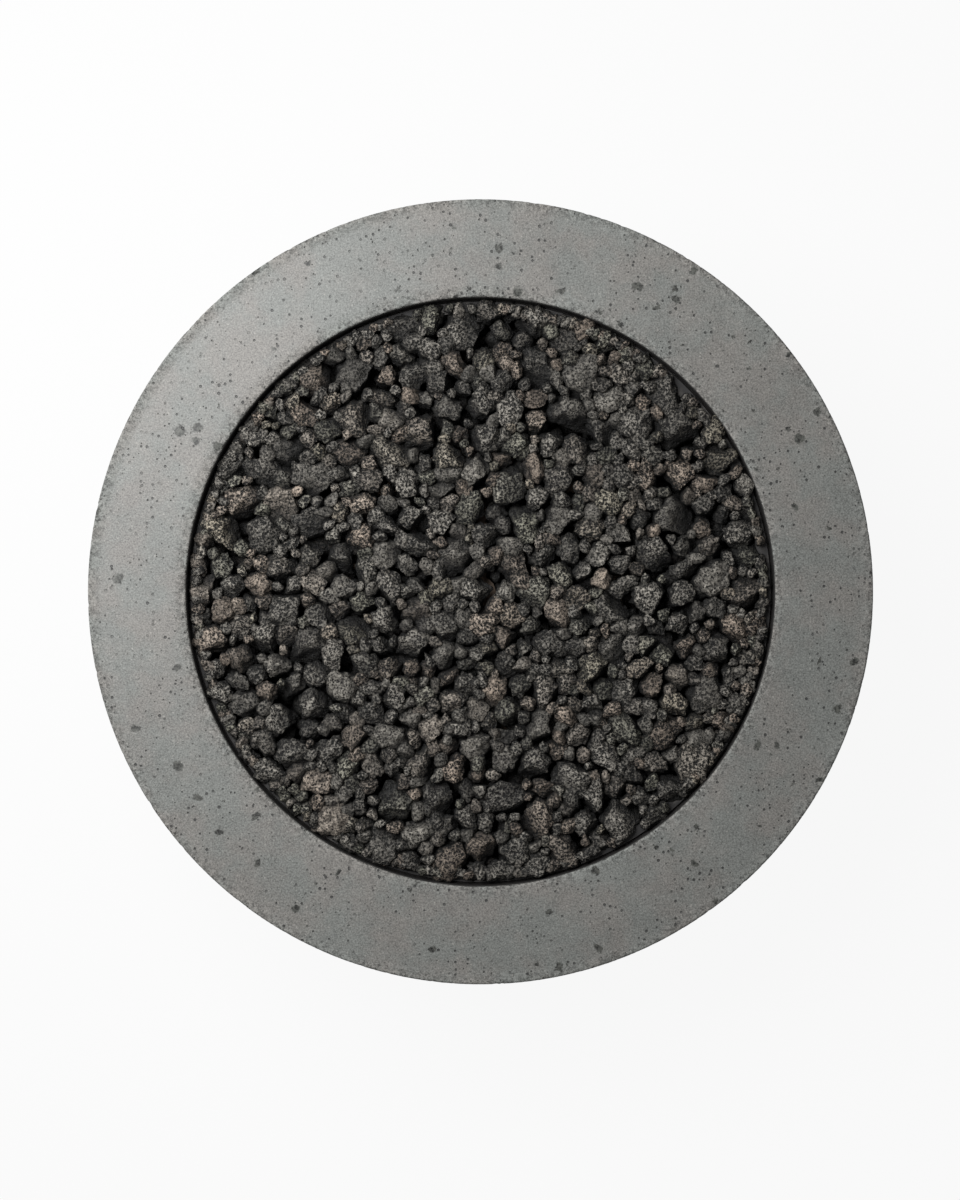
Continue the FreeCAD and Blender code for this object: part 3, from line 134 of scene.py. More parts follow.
def grains_group():
    """Grains, flakes or holes strewn through a casting: where they lie and which one it is."""
    tree, given, told = effect(
        "strewn_grains",
        {"Place": None, "Spacing": 0.01, "Least": 0.0005, "Most": 0.002, "Ragged": 0.3, "Rare": 3.0},
        ("Mask", "Pick"),
    )
    wobble = joined(tree, "ShaderNodeTexNoise", Vector=given["Place"], Detail=4.0, Roughness=0.7)
    tree.links.new(reckoned(tree, "DIVIDE", 0.8, given["Most"]), wobble.inputs["Scale"])
    centred = vector(tree, "SUBTRACT", wobble.outputs["Color"], (0.5, 0.5, 0.5))
    reach = reckoned(tree, "MULTIPLY", given["Most"], given["Ragged"])
    moved = vector(tree, "ADD", given["Place"], vector(tree, "SCALE", centred, reach))
    cells = joined(tree, "ShaderNodeTexVoronoi", Vector=moved)
    tree.links.new(reckoned(tree, "DIVIDE", 1.0, given["Spacing"]), cells.inputs["Scale"])
    parts = joined(tree, "ShaderNodeSeparateColor", Color=cells.outputs["Color"])
    away = reckoned(tree, "MULTIPLY", cells.outputs["Distance"], given["Spacing"])
    chance = reckoned(tree, "POWER", parts.outputs[0], given["Rare"])
    spread = reckoned(tree, "SUBTRACT", given["Most"], given["Least"])
    size = reckoned(tree, "ADD", given["Least"], reckoned(tree, "MULTIPLY", spread, chance))
    inside = reckoned(tree, "DIVIDE", away, size)
    tree.links.new(eased(tree, inside, 0.75, 1.1, 1.0, 0.0), told["Mask"])
    tree.links.new(parts.outputs[1], told["Pick"])
    return tree


def cement_group():
    """The cloudy, mottled and grainy tone of cast cement, about 1, and its fine height."""
    tree, given, told = effect(
        "cast_cement",
        {"Place": None, "Clouds": 0.1, "Mottle": 0.1, "Grain": 0.2, "Grain Size": 0.003},
        ("Tone", "Height"),
    )
    clouds = noise(tree, given["Place"], 0.19, 3.0)
    mottle = noise(tree, given["Place"], 0.028, 4.0, 0.6)
    grain = noise(tree, given["Place"], given["Grain Size"], 3.0, 0.75)
    tone = 1.0
    for amount, pattern in (("Clouds", clouds), ("Mottle", mottle), ("Grain", grain)):
        part = reckoned(tree, "MULTIPLY", reckoned(tree, "SUBTRACT", pattern, 0.5), given[amount])
        tone = reckoned(tree, "ADD", part, tone)
    tree.links.new(tone, told["Tone"])
    low = reckoned(tree, "MULTIPLY", mottle, 2.0)
    tree.links.new(reckoned(tree, "ADD", low, grain), told["Height"])
    return tree


GRAINS = grains_group()
CEMENT = cement_group()


def material(name, **principled):
    """A material whose plain values are set on the shader's own sockets."""
    made = bpy.data.materials.new(name)
    made.use_nodes = True
    shader = made.node_tree.nodes["Principled BSDF"]
    for label, value in principled.items():
        shader.inputs[label.replace("_", " ")].default_value = value
    place = made.node_tree.nodes.new("ShaderNodeTexCoord").outputs["Object"]
    return made, made.node_tree, shader.inputs, place


def bumped(tree, height, depth, strength=1.0, below=None):
    """A normal from a height pattern whose full step is the depth, in metres."""
    node = joined(tree, "ShaderNodeBump", Height=height, Distance=depth, Strength=strength)
    if below is not None:
        tree.links.new(below, node.inputs["Normal"])
    return node.outputs["Normal"]


CONCRETE_COOL = (0.154, 0.160, 0.151, 1)
CONCRETE_WARM = (0.168, 0.161, 0.150, 1)
FLAKE = (0.036, 0.037, 0.033)
DARK_SAND = (0.04, 0.04, 0.04, 1)
PALE_SAND = (0.5, 0.48, 0.44, 1)
DARK_SAND_SHARE = 0.34
PALE_SAND_SHARE = 0.22
# Dark colour painted in the air holes as the shade inside them.
AIR_HOLE_SHADE = (0.028, 0.028, 0.028, 1)
# Near black, painted on the ring's inner wall as shade.
INNER_WALL_SHADE = (0.016, 0.015, 0.0145, 1)


def concrete(name, edge_wear):
    """Cast concrete: cement tone, sand, flakes, air holes painted dark as shade, faint stains, worn
    arrises with painted glints, and painted shade on the inner wall.
    """
    made, tree, shader, place = material(name, Specular_IOR_Level=0.5)
    worn = joined(tree, "ShaderNodeAttribute", {"attribute_name": "worn"}).outputs["Fac"]
    painted_wall_shade = joined(tree, "ShaderNodeAttribute", {"attribute_name": "painted_wall_shade"}).outputs["Fac"]
    cement = used(tree, CEMENT, Place=place, Clouds=0.26, Mottle=0.4, Grain=2.6, Grain_Size=0.0026)
    sand = used(tree, GRAINS, Place=place, Spacing=0.0062, Least=0.0003, Most=0.0017, Ragged=1.1,
                Rare=1.6)
    pale = used(tree, GRAINS, Place=place, Spacing=0.0071, Least=0.0003, Most=0.0017, Ragged=0.9,
                Rare=1.8)
    flakes = used(tree, GRAINS, Place=place, Spacing=0.031, Least=0.0022, Most=0.0100, Ragged=2.2,
                  Rare=1.6)
    holes = used(tree, GRAINS, Place=place, Spacing=0.0092, Least=0.0009, Most=0.0025, Ragged=0.6,
                 Rare=1.6)
    crowds = noise(tree, place, 0.07, 2.0)
    sparkle = noise(tree, place, 0.0056, 3.0, 0.7)
    stain = noise(tree, place, 0.075, 3.0, 0.6)
    rough_edge = reckoned(tree, "MULTIPLY", reckoned(tree, "POWER", worn, 0.6), edge_wear)
    # Painted glints and shade: lighter and darker specks in the tone along the worn arrises, over the
    # real chips in the shape.
    crumb_glints_and_shade = reckoned(tree, "MULTIPLY", eased(tree, sparkle, 0.38, 0.62, -0.5, 0.46), rough_edge)
    tone = reckoned(tree, "ADD", cement["Tone"], crumb_glints_and_shade)
    hue = tinted(tree, eased(tree, stain, 0.35, 0.65), CONCRETE_COOL, CONCRETE_WARM)
    base = vector(tree, "SCALE", hue, tone)
    flecked = vector(tree, "SCALE", FLAKE, eased(tree, sparkle, 0.34, 0.66, 0.15, 2.3))
    base = tinted(tree, reckoned(tree, "MULTIPLY", sand["Mask"], DARK_SAND_SHARE), base, DARK_SAND)
    base = tinted(tree, reckoned(tree, "MULTIPLY", pale["Mask"], PALE_SAND_SHARE), base, PALE_SAND)
    crowded = reckoned(tree, "GREATER_THAN", eased(tree, crowds, 0.43, 0.6), flakes["Pick"])
    shown_flakes = reckoned(tree, "MULTIPLY", flakes["Mask"], crowded)
    base = tinted(tree, shown_flakes, base, flecked)
    # Painted shade: the air holes are pits in the bump, and their colour is darkened as the shade
    # inside them.
    open_holes = reckoned(tree, "MULTIPLY", holes["Mask"], eased(tree, crowds, 0.4, 0.56, 0.25, 0.9))
    base = tinted(tree, open_holes, base, AIR_HOLE_SHADE)
    # Painted shade: the inner wall below the arris is painted near black where the stones meet it.
    base = tinted(tree, painted_wall_shade, base, INNER_WALL_SHADE)
    tree.links.new(base, shader["Base Color"])
    gloss = reckoned(tree, "ADD", reckoned(tree, "MULTIPLY", cement["Height"], 0.06), 0.4)
    gloss = reckoned(tree, "ADD", gloss, reckoned(tree, "MULTIPLY", rough_edge, 0.4))
    tree.links.new(gloss, shader["Roughness"])
    fine = bumped(tree, cement["Height"], 0.0005, 0.5)
    pitted = bumped(tree, reckoned(tree, "SUBTRACT", 1.0, open_holes), 0.0015, 1.0, fine)
    crumbled = bumped(tree, reckoned(tree, "MULTIPLY", sparkle, rough_edge), 0.0018, 1.0, pitted)
    tree.links.new(crumbled, shader["Normal"])
    return made


drum_concrete = concrete("drum_concrete", 0.0)


def finished(made, *nodes):
    """Gives one finish to pieces of the frame."""
    for node in nodes:
        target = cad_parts[node]
        target.data.materials.clear()
        target.data.materials.append(made)


finished(drum_concrete, "drum_shell")


# Bearing pads and dowels. Eight neoprene pads are glued to the drum's seat, and four stainless
# dowels stand in it, so that the ring lies level and can't slide.
def rubbery(name, colour, roughness):
    """Rubber, plastic or ceramic: faint clouds and a fine moulded grain."""
    made, tree, shader, place = material(name, Specular_IOR_Level=0.35)
    cloud = noise(tree, place, 0.012, 4.0, 0.65)
    fine = noise(tree, place, 0.0009, 2.0)
    tone = eased(tree, cloud, 0.3, 0.7, 0.78, 1.2)
    tree.links.new(vector(tree, "SCALE", colour, tone), shader["Base Color"])
    tree.links.new(eased(tree, cloud, 0.3, 0.7, roughness - 0.08, roughness + 0.08),
                   shader["Roughness"])
    tree.links.new(bumped(tree, fine, 0.00012), shader["Normal"])
    return made


def metal(name, colour, roughness, stain=0.18, depth=0.00005, stretch=(1, 1, 1)):
    """Bare metal with faint drawn lines, smears and a little tarnish."""
    made, tree, shader, place = material(name, Metallic=1.0)
    drawn = joined(tree, "ShaderNodeMapping", Vector=place, Scale=stretch).outputs[0]
    lines = noise(tree, drawn, 0.0011, 3.0, 0.7)
    smear = noise(tree, place, 0.022, 4.0, 0.6)
    tone = eased(tree, smear, 0.3, 0.75, 1.0 + stain, 1.0 - stain)
    tone = reckoned(tree, "MULTIPLY", tone, eased(tree, lines, 0.3, 0.7, 0.88, 1.1))
    tree.links.new(vector(tree, "SCALE", colour, tone), shader["Base Color"])
    rub = reckoned(tree, "MULTIPLY", reckoned(tree, "SUBTRACT", smear, 0.5), 0.3)
    tree.links.new(reckoned(tree, "ADD", rub, roughness), shader["Roughness"])
    tree.links.new(bumped(tree, lines, depth), shader["Normal"])
    return made


neoprene = rubbery("neoprene", (0.018, 0.018, 0.019), 0.7)
stainless = metal("stainless", (0.6, 0.59, 0.57), 0.3, stretch=(1, 1, 0.06))
finished(neoprene, "top_pads")
finished(stainless, "locating_dowels")


# Vents. Pressed steel grilles with four louvres each, powder-coated black, pushed by their
# sleeves into the drum on both sides and bonded there. They feed air to the burner.
DUST = (0.16, 0.15, 0.14, 1)


def coated(name, colour, roughness=0.5):
    """Powder coat: fine orange peel, faint dust and rubbed patches."""
    made, tree, shader, place = material(name, Specular_IOR_Level=0.5)
    peel = noise(tree, place, 0.0016, 2.0)
    dust = noise(tree, place, 0.03, 5.0, 0.65)
    settled = eased(tree, dust, 0.45, 0.75)
    facing = joined(tree, "ShaderNodeSeparateXYZ",
                    Vector=tree.nodes.new("ShaderNodeNewGeometry").outputs["Normal"]).outputs["Z"]
    upward = eased(tree, facing, 0.2, 0.95, 0.12, 0.5)
    film = reckoned(tree, "MULTIPLY", settled, upward)
    tree.links.new(tinted(tree, film, (*colour, 1), DUST), shader["Base Color"])
    tree.links.new(eased(tree, dust, 0.3, 0.7, roughness - 0.1, roughness + 0.15),
                   shader["Roughness"])
    tree.links.new(bumped(tree, peel, 0.00018), shader["Normal"])
    return made


black_coat = coated("black_powder_coat", (0.017, 0.017, 0.018))
finished(black_coat, "vent_grille_right", "vent_grille_left")


# Service door. A sheet door on two pin hinges, in a flat steel frame that four screws hold to
# the back of the drum. A turned pull opens it and a magnet keeps it shut.
def shown(name, data):
    """A new object of the scene with this mesh, light or camera."""
    item = bpy.data.objects.new(name, data)
    bpy.context.scene.collection.objects.link(item)
    return item


def applied(item, tree, **values):
    """The plain mesh that a geometry tree makes of an item, with the tree's inputs by name."""
    modifier = item.modifiers.new(tree.name, "NODES")
    modifier.node_group = tree
    for socket in tree.interface.items_tree:
        key = socket.name.replace(" ", "_")
        if socket.in_out == "INPUT" and key in values:
            modifier[socket.identifier] = values[key]
    looked = bpy.context.evaluated_depsgraph_get()
    looked.update()
    mesh = bpy.data.meshes.new_from_object(item.evaluated_get(looked))
    item.modifiers.clear()
    item.data = mesh
    return item


SHARP_ANGLE = math.radians(32)


def lofted(name, loops):
    """A closed mesh through rings of points, each ring given by its radii and its height."""
    sides = len(loops[0][0])
    angle = np.linspace(0, 2 * math.pi, sides, endpoint=False)
    places = [(radius * math.cos(turn), radius * math.sin(turn), height)
              for radii, height in loops for radius, turn in zip(radii, angle)]
    faces = [tuple(reversed(range(sides)))]
    for start in range(0, sides * (len(loops) - 1), sides):
        for side in range(sides):
            beside = (side + 1) % sides
            faces.append((start + side, start + beside,
                          start + sides + beside, start + sides + side))
    faces.append(tuple(range(sides * (len(loops) - 1), sides * len(loops))))
    mesh = bpy.data.meshes.new(name)
    mesh.from_pydata(places, [], faces)
    mesh.shade_smooth()
    mesh.set_sharp_from_angle(angle=SHARP_ANGLE)
    return mesh


def shaping(name, **inputs):
    """An empty geometry tree that takes and gives a shape, with its other inputs by kind."""
    tree = bpy.data.node_groups.new(name, "GeometryNodeTree")
    for label, kind in (("Geometry", "Geometry"), *inputs.items()):
        tree.interface.new_socket(label.replace("_", " "), in_out="INPUT",
                                  socket_type="NodeSocket" + kind)
    tree.interface.new_socket("Geometry", in_out="OUTPUT", socket_type="NodeSocketGeometry")
    return tree, tree.nodes.new("NodeGroupInput").outputs, tree.nodes.new("NodeGroupOutput").inputs


def kept(tree, name, kind="FLOAT_VECTOR"):
    """What the points of a mesh keep under a name."""
    node = joined(tree, "GeometryNodeInputNamedAttribute", {"data_type": kind}, Name=name)
    return next(item for item in node.outputs if item.enabled)


def noted(mesh, label, kind, values):
    """Writes numbers or vectors on the points of a mesh."""
    layer = mesh.attributes.new(label, kind, "POINT")
    layer.data.foreach_set("value" if kind == "FLOAT" else "vector",
                           np.array(values, np.float32).ravel())


def cleared(mesh, *labels):
    """Takes away what the points of a mesh keep but the finish doesn't read."""
    for label in labels:
        layer = mesh.attributes.get(label)
        if layer is not None:
            mesh.attributes.remove(layer)


def set_out_tree():
    """A copy of one small piece at each point, turned as the point says."""
    tree, given, told = shaping("set_out", Pattern="Object", Finish="Material")
    pattern = joined(tree, "GeometryNodeObjectInfo", Object=given["Pattern"]).outputs["Geometry"]
    turn = joined(tree, "FunctionNodeEulerToRotation", Euler=kept(tree, "turn"))
    points = joined(tree, "GeometryNodeMeshToPoints", Mesh=given["Geometry"]).outputs[0]
    copies = joined(tree, "GeometryNodeInstanceOnPoints", Points=points, Instance=pattern,
                    Rotation=turn.outputs[0])
    real = joined(tree, "GeometryNodeRealizeInstances", Geometry=copies.outputs[0])
    done = joined(tree, "GeometryNodeSetMaterial", Geometry=real.outputs[0],
                  Material=given["Finish"])
    tree.links.new(done.outputs[0], told["Geometry"])
    return tree


SET_OUT = set_out_tree()


def set_out(name, pattern_mesh, places, turns, made):
    """Copies of a small mesh at these places and turns, as one piece of the table's fixed body."""
    mesh = bpy.data.meshes.new(name)
    mesh.from_pydata(places, [], [])
    noted(mesh, "turn", "FLOAT_VECTOR", turns)
    pattern = bpy.data.objects.new(name + "_pattern", pattern_mesh)
    piece = applied(shown(name, mesh), SET_OUT, Pattern=pattern, Finish=made)
    bpy.data.objects.remove(pattern)
    cleared(piece.data, "turn")
    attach(piece, "root")
    return piece


SCREW_HEAD = 0.0046
SCREW_HEIGHT = 0.0026
SCREW_SHANK = 0.0024
SCREW_LENGTH = 0.016
SOCKET_HALF = 0.0016
SOCKET_DEPTH = 0.0014
SCREW_TIP = 0.0006
SCREW_SIDES = 24
TO_FRONT = math.pi / 2


def socket_screw():
    """A button-head screw with a hexagon socket, its seat at the origin and its head upwards."""
    turn = np.linspace(0, 2 * math.pi, SCREW_SIDES, endpoint=False)
    hexagon = SOCKET_HALF / np.cos(turn % (math.pi / 3) - math.pi / 6)
    profile = ((0.75 * SCREW_SHANK, -SCREW_LENGTH), (SCREW_SHANK, SCREW_TIP - SCREW_LENGTH),
               (SCREW_SHANK, 0), (SCREW_HEAD, 0), (SCREW_HEAD, 0.25 * SCREW_HEIGHT),
               (0.93 * SCREW_HEAD, 0.6 * SCREW_HEIGHT), (0.78 * SCREW_HEAD, 0.85 * SCREW_HEIGHT),
               (0.58 * SCREW_HEAD, SCREW_HEIGHT))
    loops = [(np.full(SCREW_SIDES, radius), height) for radius, height in profile]
    loops += [(hexagon, SCREW_HEIGHT), (hexagon, SCREW_HEIGHT - SOCKET_DEPTH)]
    return lofted("socket_screw", loops)


def corner_screws(name, node, back, made):
    """Screws in the four corners of a plate on the front or back, where the frame has them."""
    low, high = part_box(node)
    seat = high.y - SCREW_HEIGHT if back else low.y + SCREW_HEIGHT
    places = [(x, seat, z) for x in (low.x + SCREW_HEAD, high.x - SCREW_HEAD)
              for z in (low.z + SCREW_HEAD, high.z - SCREW_HEAD)]
    spins = np.random.default_rng(len(name)).uniform(0, math.pi, len(places))
    turns = [(TO_FRONT, spin, math.pi if back else 0) for spin in spins]
    piece = set_out(name, socket_screw(), places, turns, made)
    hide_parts(node)


zinc = metal("zinc_plate", (0.55, 0.56, 0.57), 0.35)
magnet_grey = rubbery("ferrite", (0.03, 0.03, 0.032), 0.5)
knob_metal = metal("knob_metal", (0.17, 0.168, 0.165), 0.36, 0.12)
finished(black_coat, "door_frame", "access_door")
finished(stainless, "hinge_pins")
finished(magnet_grey, "door_magnet")
finished(knob_metal, "door_pull")
corner_screws("frame_socket_screws", "door_frame_screws", True, zinc)


# Controls. A brushed stainless plate on the front carries the gas valve with its knob and the
# push igniter with its button. Four screws hold it in its recess.
brushed = metal("brushed_plate", (0.36, 0.355, 0.345), 0.36, 0.1, 0.00012, (0.03, 1, 1))
brass = metal("brass", (0.62, 0.43, 0.17), 0.36)
button_black = rubbery("button_plastic", (0.035, 0.034, 0.033), 0.42)
igniter_black = rubbery("igniter_plastic", (0.022, 0.022, 0.024), 0.48)
battery_case = rubbery("battery_case", (0.11, 0.1, 0.09), 0.4)
spring_steel = metal("spring_steel", (0.45, 0.45, 0.46), 0.28)
finished(brushed, "control_plate")
finished(brass, "gas_valve", "valve_plug", "valve_locknut")
finished(stainless, "valve_stem")
finished(igniter_black, "igniter_barrel", "igniter_nut")
finished(battery_case, "igniter_battery")
corner_screws("panel_socket_screws", "control_screws", False, zinc)

KNOB_LOW, KNOB_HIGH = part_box("valve_knob")
KNOB_RADIUS = (KNOB_HIGH.x - KNOB_LOW.x) / 2
KNOB_FRONT = KNOB_HIGH.y - KNOB_LOW.y
KNOB_SIDES = 288
KNOB_FLUTES = 36
FLUTE_DEPTH = 0.0005
FLUTES_START = 0.0017
FLUTES_END = 0.0078
SKIRT_ROUND = 0.0005
SKIRT_DRAFT = 0.0002
CAVITY_RADIUS = 0.015
CAVITY_DEPTH = 0.007
SKIRT_PROFILE = ((0.97 * CAVITY_RADIUS, CAVITY_DEPTH), (CAVITY_RADIUS, CAVITY_DEPTH - SKIRT_ROUND),
                 (CAVITY_RADIUS, 0), (KNOB_RADIUS - SKIRT_ROUND, 0), (KNOB_RADIUS, SKIRT_ROUND),
                 (KNOB_RADIUS, 0.0013))
SHOULDER = 0.011
SHOULDER_ROUND = ((0.0006, 0.0084), (0.0014, 0.0096), (0.0026, 0.0106), (0.0040, SHOULDER))
GRIP_HALF_LONG = 0.018
GRIP_HALF_WIDE = 0.0055
GRIP_ROUND = 0.0014
GRIP_PROFILE = ((-0.0003, SHOULDER), (0, SHOULDER + 0.0004), (0, KNOB_FRONT - GRIP_ROUND),
                (0.3 * GRIP_ROUND, KNOB_FRONT - 0.0006), (GRIP_ROUND, KNOB_FRONT - 0.00005))


def bar_outline(half_wide, half_long, sides):
    """Radii of a bar's outline with rounded corners, long along local Y."""
    turn = np.linspace(0, 2 * math.pi, sides, endpoint=False)
    across = (np.abs(np.cos(turn)) / half_wide) ** 6
    along = (np.abs(np.sin(turn)) / half_long) ** 6
    return (across + along) ** (-1 / 6)


def faced(name, mesh, node, body, made):
    """A turned piece set on the middle of a fitting of the panel, its back where the fitting's is."""
    low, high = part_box(node)
    place = ((low.x + high.x) / 2, high.y, (low.z + high.z) / 2)
    mesh.transform(Matrix.Translation(place) @ Matrix.Rotation(TO_FRONT, 4, "X"))
    mesh.materials.append(made)
    piece = shown(name, mesh)
    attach(piece, body)
    return piece


def knob_loops():
    """The knob from its cavity round its fluted skirt and shoulder to the grip's rounded top."""
    turn = np.linspace(0, 2 * math.pi, KNOB_SIDES, endpoint=False)
    flutes = FLUTE_DEPTH * (0.5 + 0.5 * np.cos(KNOB_FLUTES * turn))
    loops = [(np.full(KNOB_SIDES, radius), height) for radius, height in SKIRT_PROFILE]
    loops += [(KNOB_RADIUS - flutes, FLUTES_START),
              (KNOB_RADIUS - SKIRT_DRAFT - flutes, FLUTES_END)]
    loops += [(np.full(KNOB_SIDES, KNOB_RADIUS - inset), height)
              for inset, height in SHOULDER_ROUND]
    loops += [(bar_outline(GRIP_HALF_WIDE - inset, GRIP_HALF_LONG - inset, KNOB_SIDES), height)
              for inset, height in GRIP_PROFILE]
    return loops


knob = faced("knob_turned", lofted("knob_turned", knob_loops()), "valve_knob", "valve_stem",
             knob_metal)
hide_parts("valve_knob")

POINTER_HALF_LONG = 0.0038
POINTER_HALF_WIDE = 0.0006
POINTER_UP = 0.0115
POINTER_DEPTH = 0.0004
enamel = coated("pointer_enamel", (0.62, 0.6, 0.55), 0.4)
line = bar_outline(POINTER_HALF_WIDE, POINTER_HALF_LONG, 32)
pointer_mesh = lofted("knob_pointer", [(line, KNOB_FRONT - POINTER_DEPTH), (line, KNOB_FRONT)])
pointer_mesh.transform(Matrix.Translation((0, POINTER_UP, 0)))
faced("knob_pointer", pointer_mesh, "valve_knob", "valve_stem", enamel)

BUTTON_RADIUS = 0.00795
BUTTON_SIDES = 64
BUTTON_PROFILE = ((0.94, 0), (1, 0.0005), (1, 0.0147), (0.96, 0.0154), (0.88, 0.0159), (0.8, 0.016),
                  (0.72, 0.0158), (0.4, 0.0153), (0.05, 0.0151))
button = faced("button_cap", lofted("button_cap", [
    (np.full(BUTTON_SIDES, BUTTON_RADIUS * share), height) for share, height in BUTTON_PROFILE]),
    "igniter_button", "igniter_button", button_black)
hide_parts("igniter_button")

coil_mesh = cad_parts["igniter_spring"].data.copy()
shape = bmesh.new()
shape.from_mesh(coil_mesh)
bmesh.ops.remove_doubles(shape, verts=shape.verts, dist=1e-6)
shape.to_mesh(coil_mesh)
shape.free()
coil_mesh.materials.clear()
coil_mesh.materials.append(spring_steel)
coil = shown("igniter_coil", coil_mesh)
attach(coil, "root")
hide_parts("igniter_spring")
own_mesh(coil)

DIAL_RADIUS = 0.0285
DIAL_MARKS = 13
MARK_HALF_LONG = 0.0016
MARK_HALF_WIDE = 0.00035
MARK_HEIGHT = 0.0001
mark = bar_outline(MARK_HALF_WIDE, MARK_HALF_LONG, 24)
mark_mesh = lofted("dial_mark", [(mark, 0), (mark, MARK_HEIGHT)])
knob_middle = (KNOB_LOW + KNOB_HIGH) / 2
plate_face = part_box("control_plate")[0].y
dial = -np.linspace(0, math.pi, DIAL_MARKS)
set_out("dial_marks", mark_mesh,
        [(knob_middle.x + DIAL_RADIUS * math.sin(turn), plate_face,
          knob_middle.z + DIAL_RADIUS * math.cos(turn)) for turn in dial],
        [(TO_FRONT, turn, 0) for turn in dial], black_coat)


# Top ring. One flat ring of the same concrete as the drum, cast face down, with a ledge for the
# fire pan and a drip groove below. Its arrises are eased by hand and show their sand and pits, with
# painted glints on them, and its inner wall is painted dark as shade.
RING_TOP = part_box("top_ring")[1].z
RING_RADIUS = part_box("top_ring")[1].x
RING_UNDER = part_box("top_ring")[0].z
OPENING_RADIUS = 0.457
LEDGE_RADIUS = 0.443
LEDGE_LEVEL = RING_TOP - 0.030
OUTER_ROUND = 0.0042
INNER_ROUND = 0.0034
FOOT_ROUND = 0.0016
DRIP_EDGE = 0.008
DRIP_HALF = 0.003
WORN_REACH = 0.019
WALL_SHADE_FADE = 0.006
RING_STEPS = 1536
ROUND_STEPS = 8
TOP_STEPS = (0.0012, 0.0026, 0.0044, 0.0068, 0.010, 0.0145, 0.021, 0.032)
RING_WEAR = 0.9


def rounded(centre, radius, first, last, steps):
    """Points on an arc, its angles in degrees."""
    angles = np.radians(np.linspace(first, last, steps + 1))
    return [(centre[0] + radius * math.cos(a), centre[1] + radius * math.sin(a)) for a in angles]


def spaced(start, end, pieces):
    """Points along a straight, without its two ends."""
    return [
        (start[0] + (end[0] - start[0]) * n / pieces, start[1] + (end[1] - start[1]) * n / pieces)
        for n in range(1, pieces)
    ]


def ring_outline():
    """The ring's section as radius and height, once round: arris, top, arris, side, under."""
    inner_flat = OPENING_RADIUS + INNER_ROUND
    outer_flat = RING_RADIUS - OUTER_ROUND
    section = rounded((inner_flat, RING_TOP - INNER_ROUND), INNER_ROUND, 180, 90, ROUND_STEPS)
    section += [(inner_flat + step, RING_TOP) for step in TOP_STEPS]
    section += spaced((inner_flat + TOP_STEPS[-1], RING_TOP),
                      (outer_flat - TOP_STEPS[-1], RING_TOP), 5)
    section += [(outer_flat - step, RING_TOP) for step in reversed(TOP_STEPS)]
    section += rounded((outer_flat, RING_TOP - OUTER_ROUND), OUTER_ROUND, 90, 0, ROUND_STEPS)
    foot = (RING_RADIUS - FOOT_ROUND, RING_UNDER + FOOT_ROUND)
    section += spaced((RING_RADIUS, RING_TOP - OUTER_ROUND), (RING_RADIUS, foot[1]), 7)
    section += rounded(foot, FOOT_ROUND, 0, -90, 3)
    drip = RING_RADIUS - DRIP_EDGE
    section += [(drip, RING_UNDER), (drip - DRIP_HALF, RING_UNDER + DRIP_HALF),
                (drip - 2 * DRIP_HALF, RING_UNDER)]
    section += spaced((drip - 2 * DRIP_HALF, RING_UNDER), (LEDGE_RADIUS, RING_UNDER), 4)
    section += [(LEDGE_RADIUS, RING_UNDER), (LEDGE_RADIUS, LEDGE_LEVEL),
                (OPENING_RADIUS, LEDGE_LEVEL)]
    section += spaced((OPENING_RADIUS, LEDGE_LEVEL), (OPENING_RADIUS, RING_TOP - INNER_ROUND), 5)
    return section


def revolved(name, section, steps):
    """A closed section turned about the table's axis."""
    radius, height = np.array(section).T
    angle = np.linspace(0, 2 * math.pi, steps, endpoint=False)
    places = np.stack([
        np.outer(np.cos(angle), radius),
        np.outer(np.sin(angle), radius),
        np.broadcast_to(height, (steps, len(height))),
    ], axis=-1).reshape(-1, 3)
    row = np.arange(len(section))
    beside = np.roll(row, -1)
    faces = []
    for step in range(steps):
        here = step * len(section)
        there = (step + 1) % steps * len(section)
        faces.append(np.stack([here + row, here + beside, there + beside, there + row], axis=1))
    mesh = bpy.data.meshes.new(name)
    mesh.from_pydata(places.tolist(), [], np.concatenate(faces).tolist())
    mesh.shade_smooth()
    return mesh


ring = shown("top_ring_cast", revolved("top_ring_cast", ring_outline(), RING_STEPS))
corners = np.array([v.co for v in ring.data.vertices])
out = np.hypot(corners[:, 0], corners[:, 1])
drop = RING_TOP - corners[:, 2]
from_edge = np.minimum(np.hypot(np.maximum(out - OPENING_RADIUS, 0), drop),
                       np.hypot(np.maximum(RING_RADIUS - out, 0), drop))
# Painted shade on the inner wall: full below the arris, fading in over a few millimetres.
wall_shade_share = np.clip((drop - INNER_ROUND * 0.5) / WALL_SHADE_FADE, 0, 1) * (out < OPENING_RADIUS + INNER_ROUND)
for label, values in (("worn", np.clip(1 - from_edge / WORN_REACH, 0, 1)), ("painted_wall_shade", wall_shade_share)):
    noted(ring.data, label, "FLOAT", values)


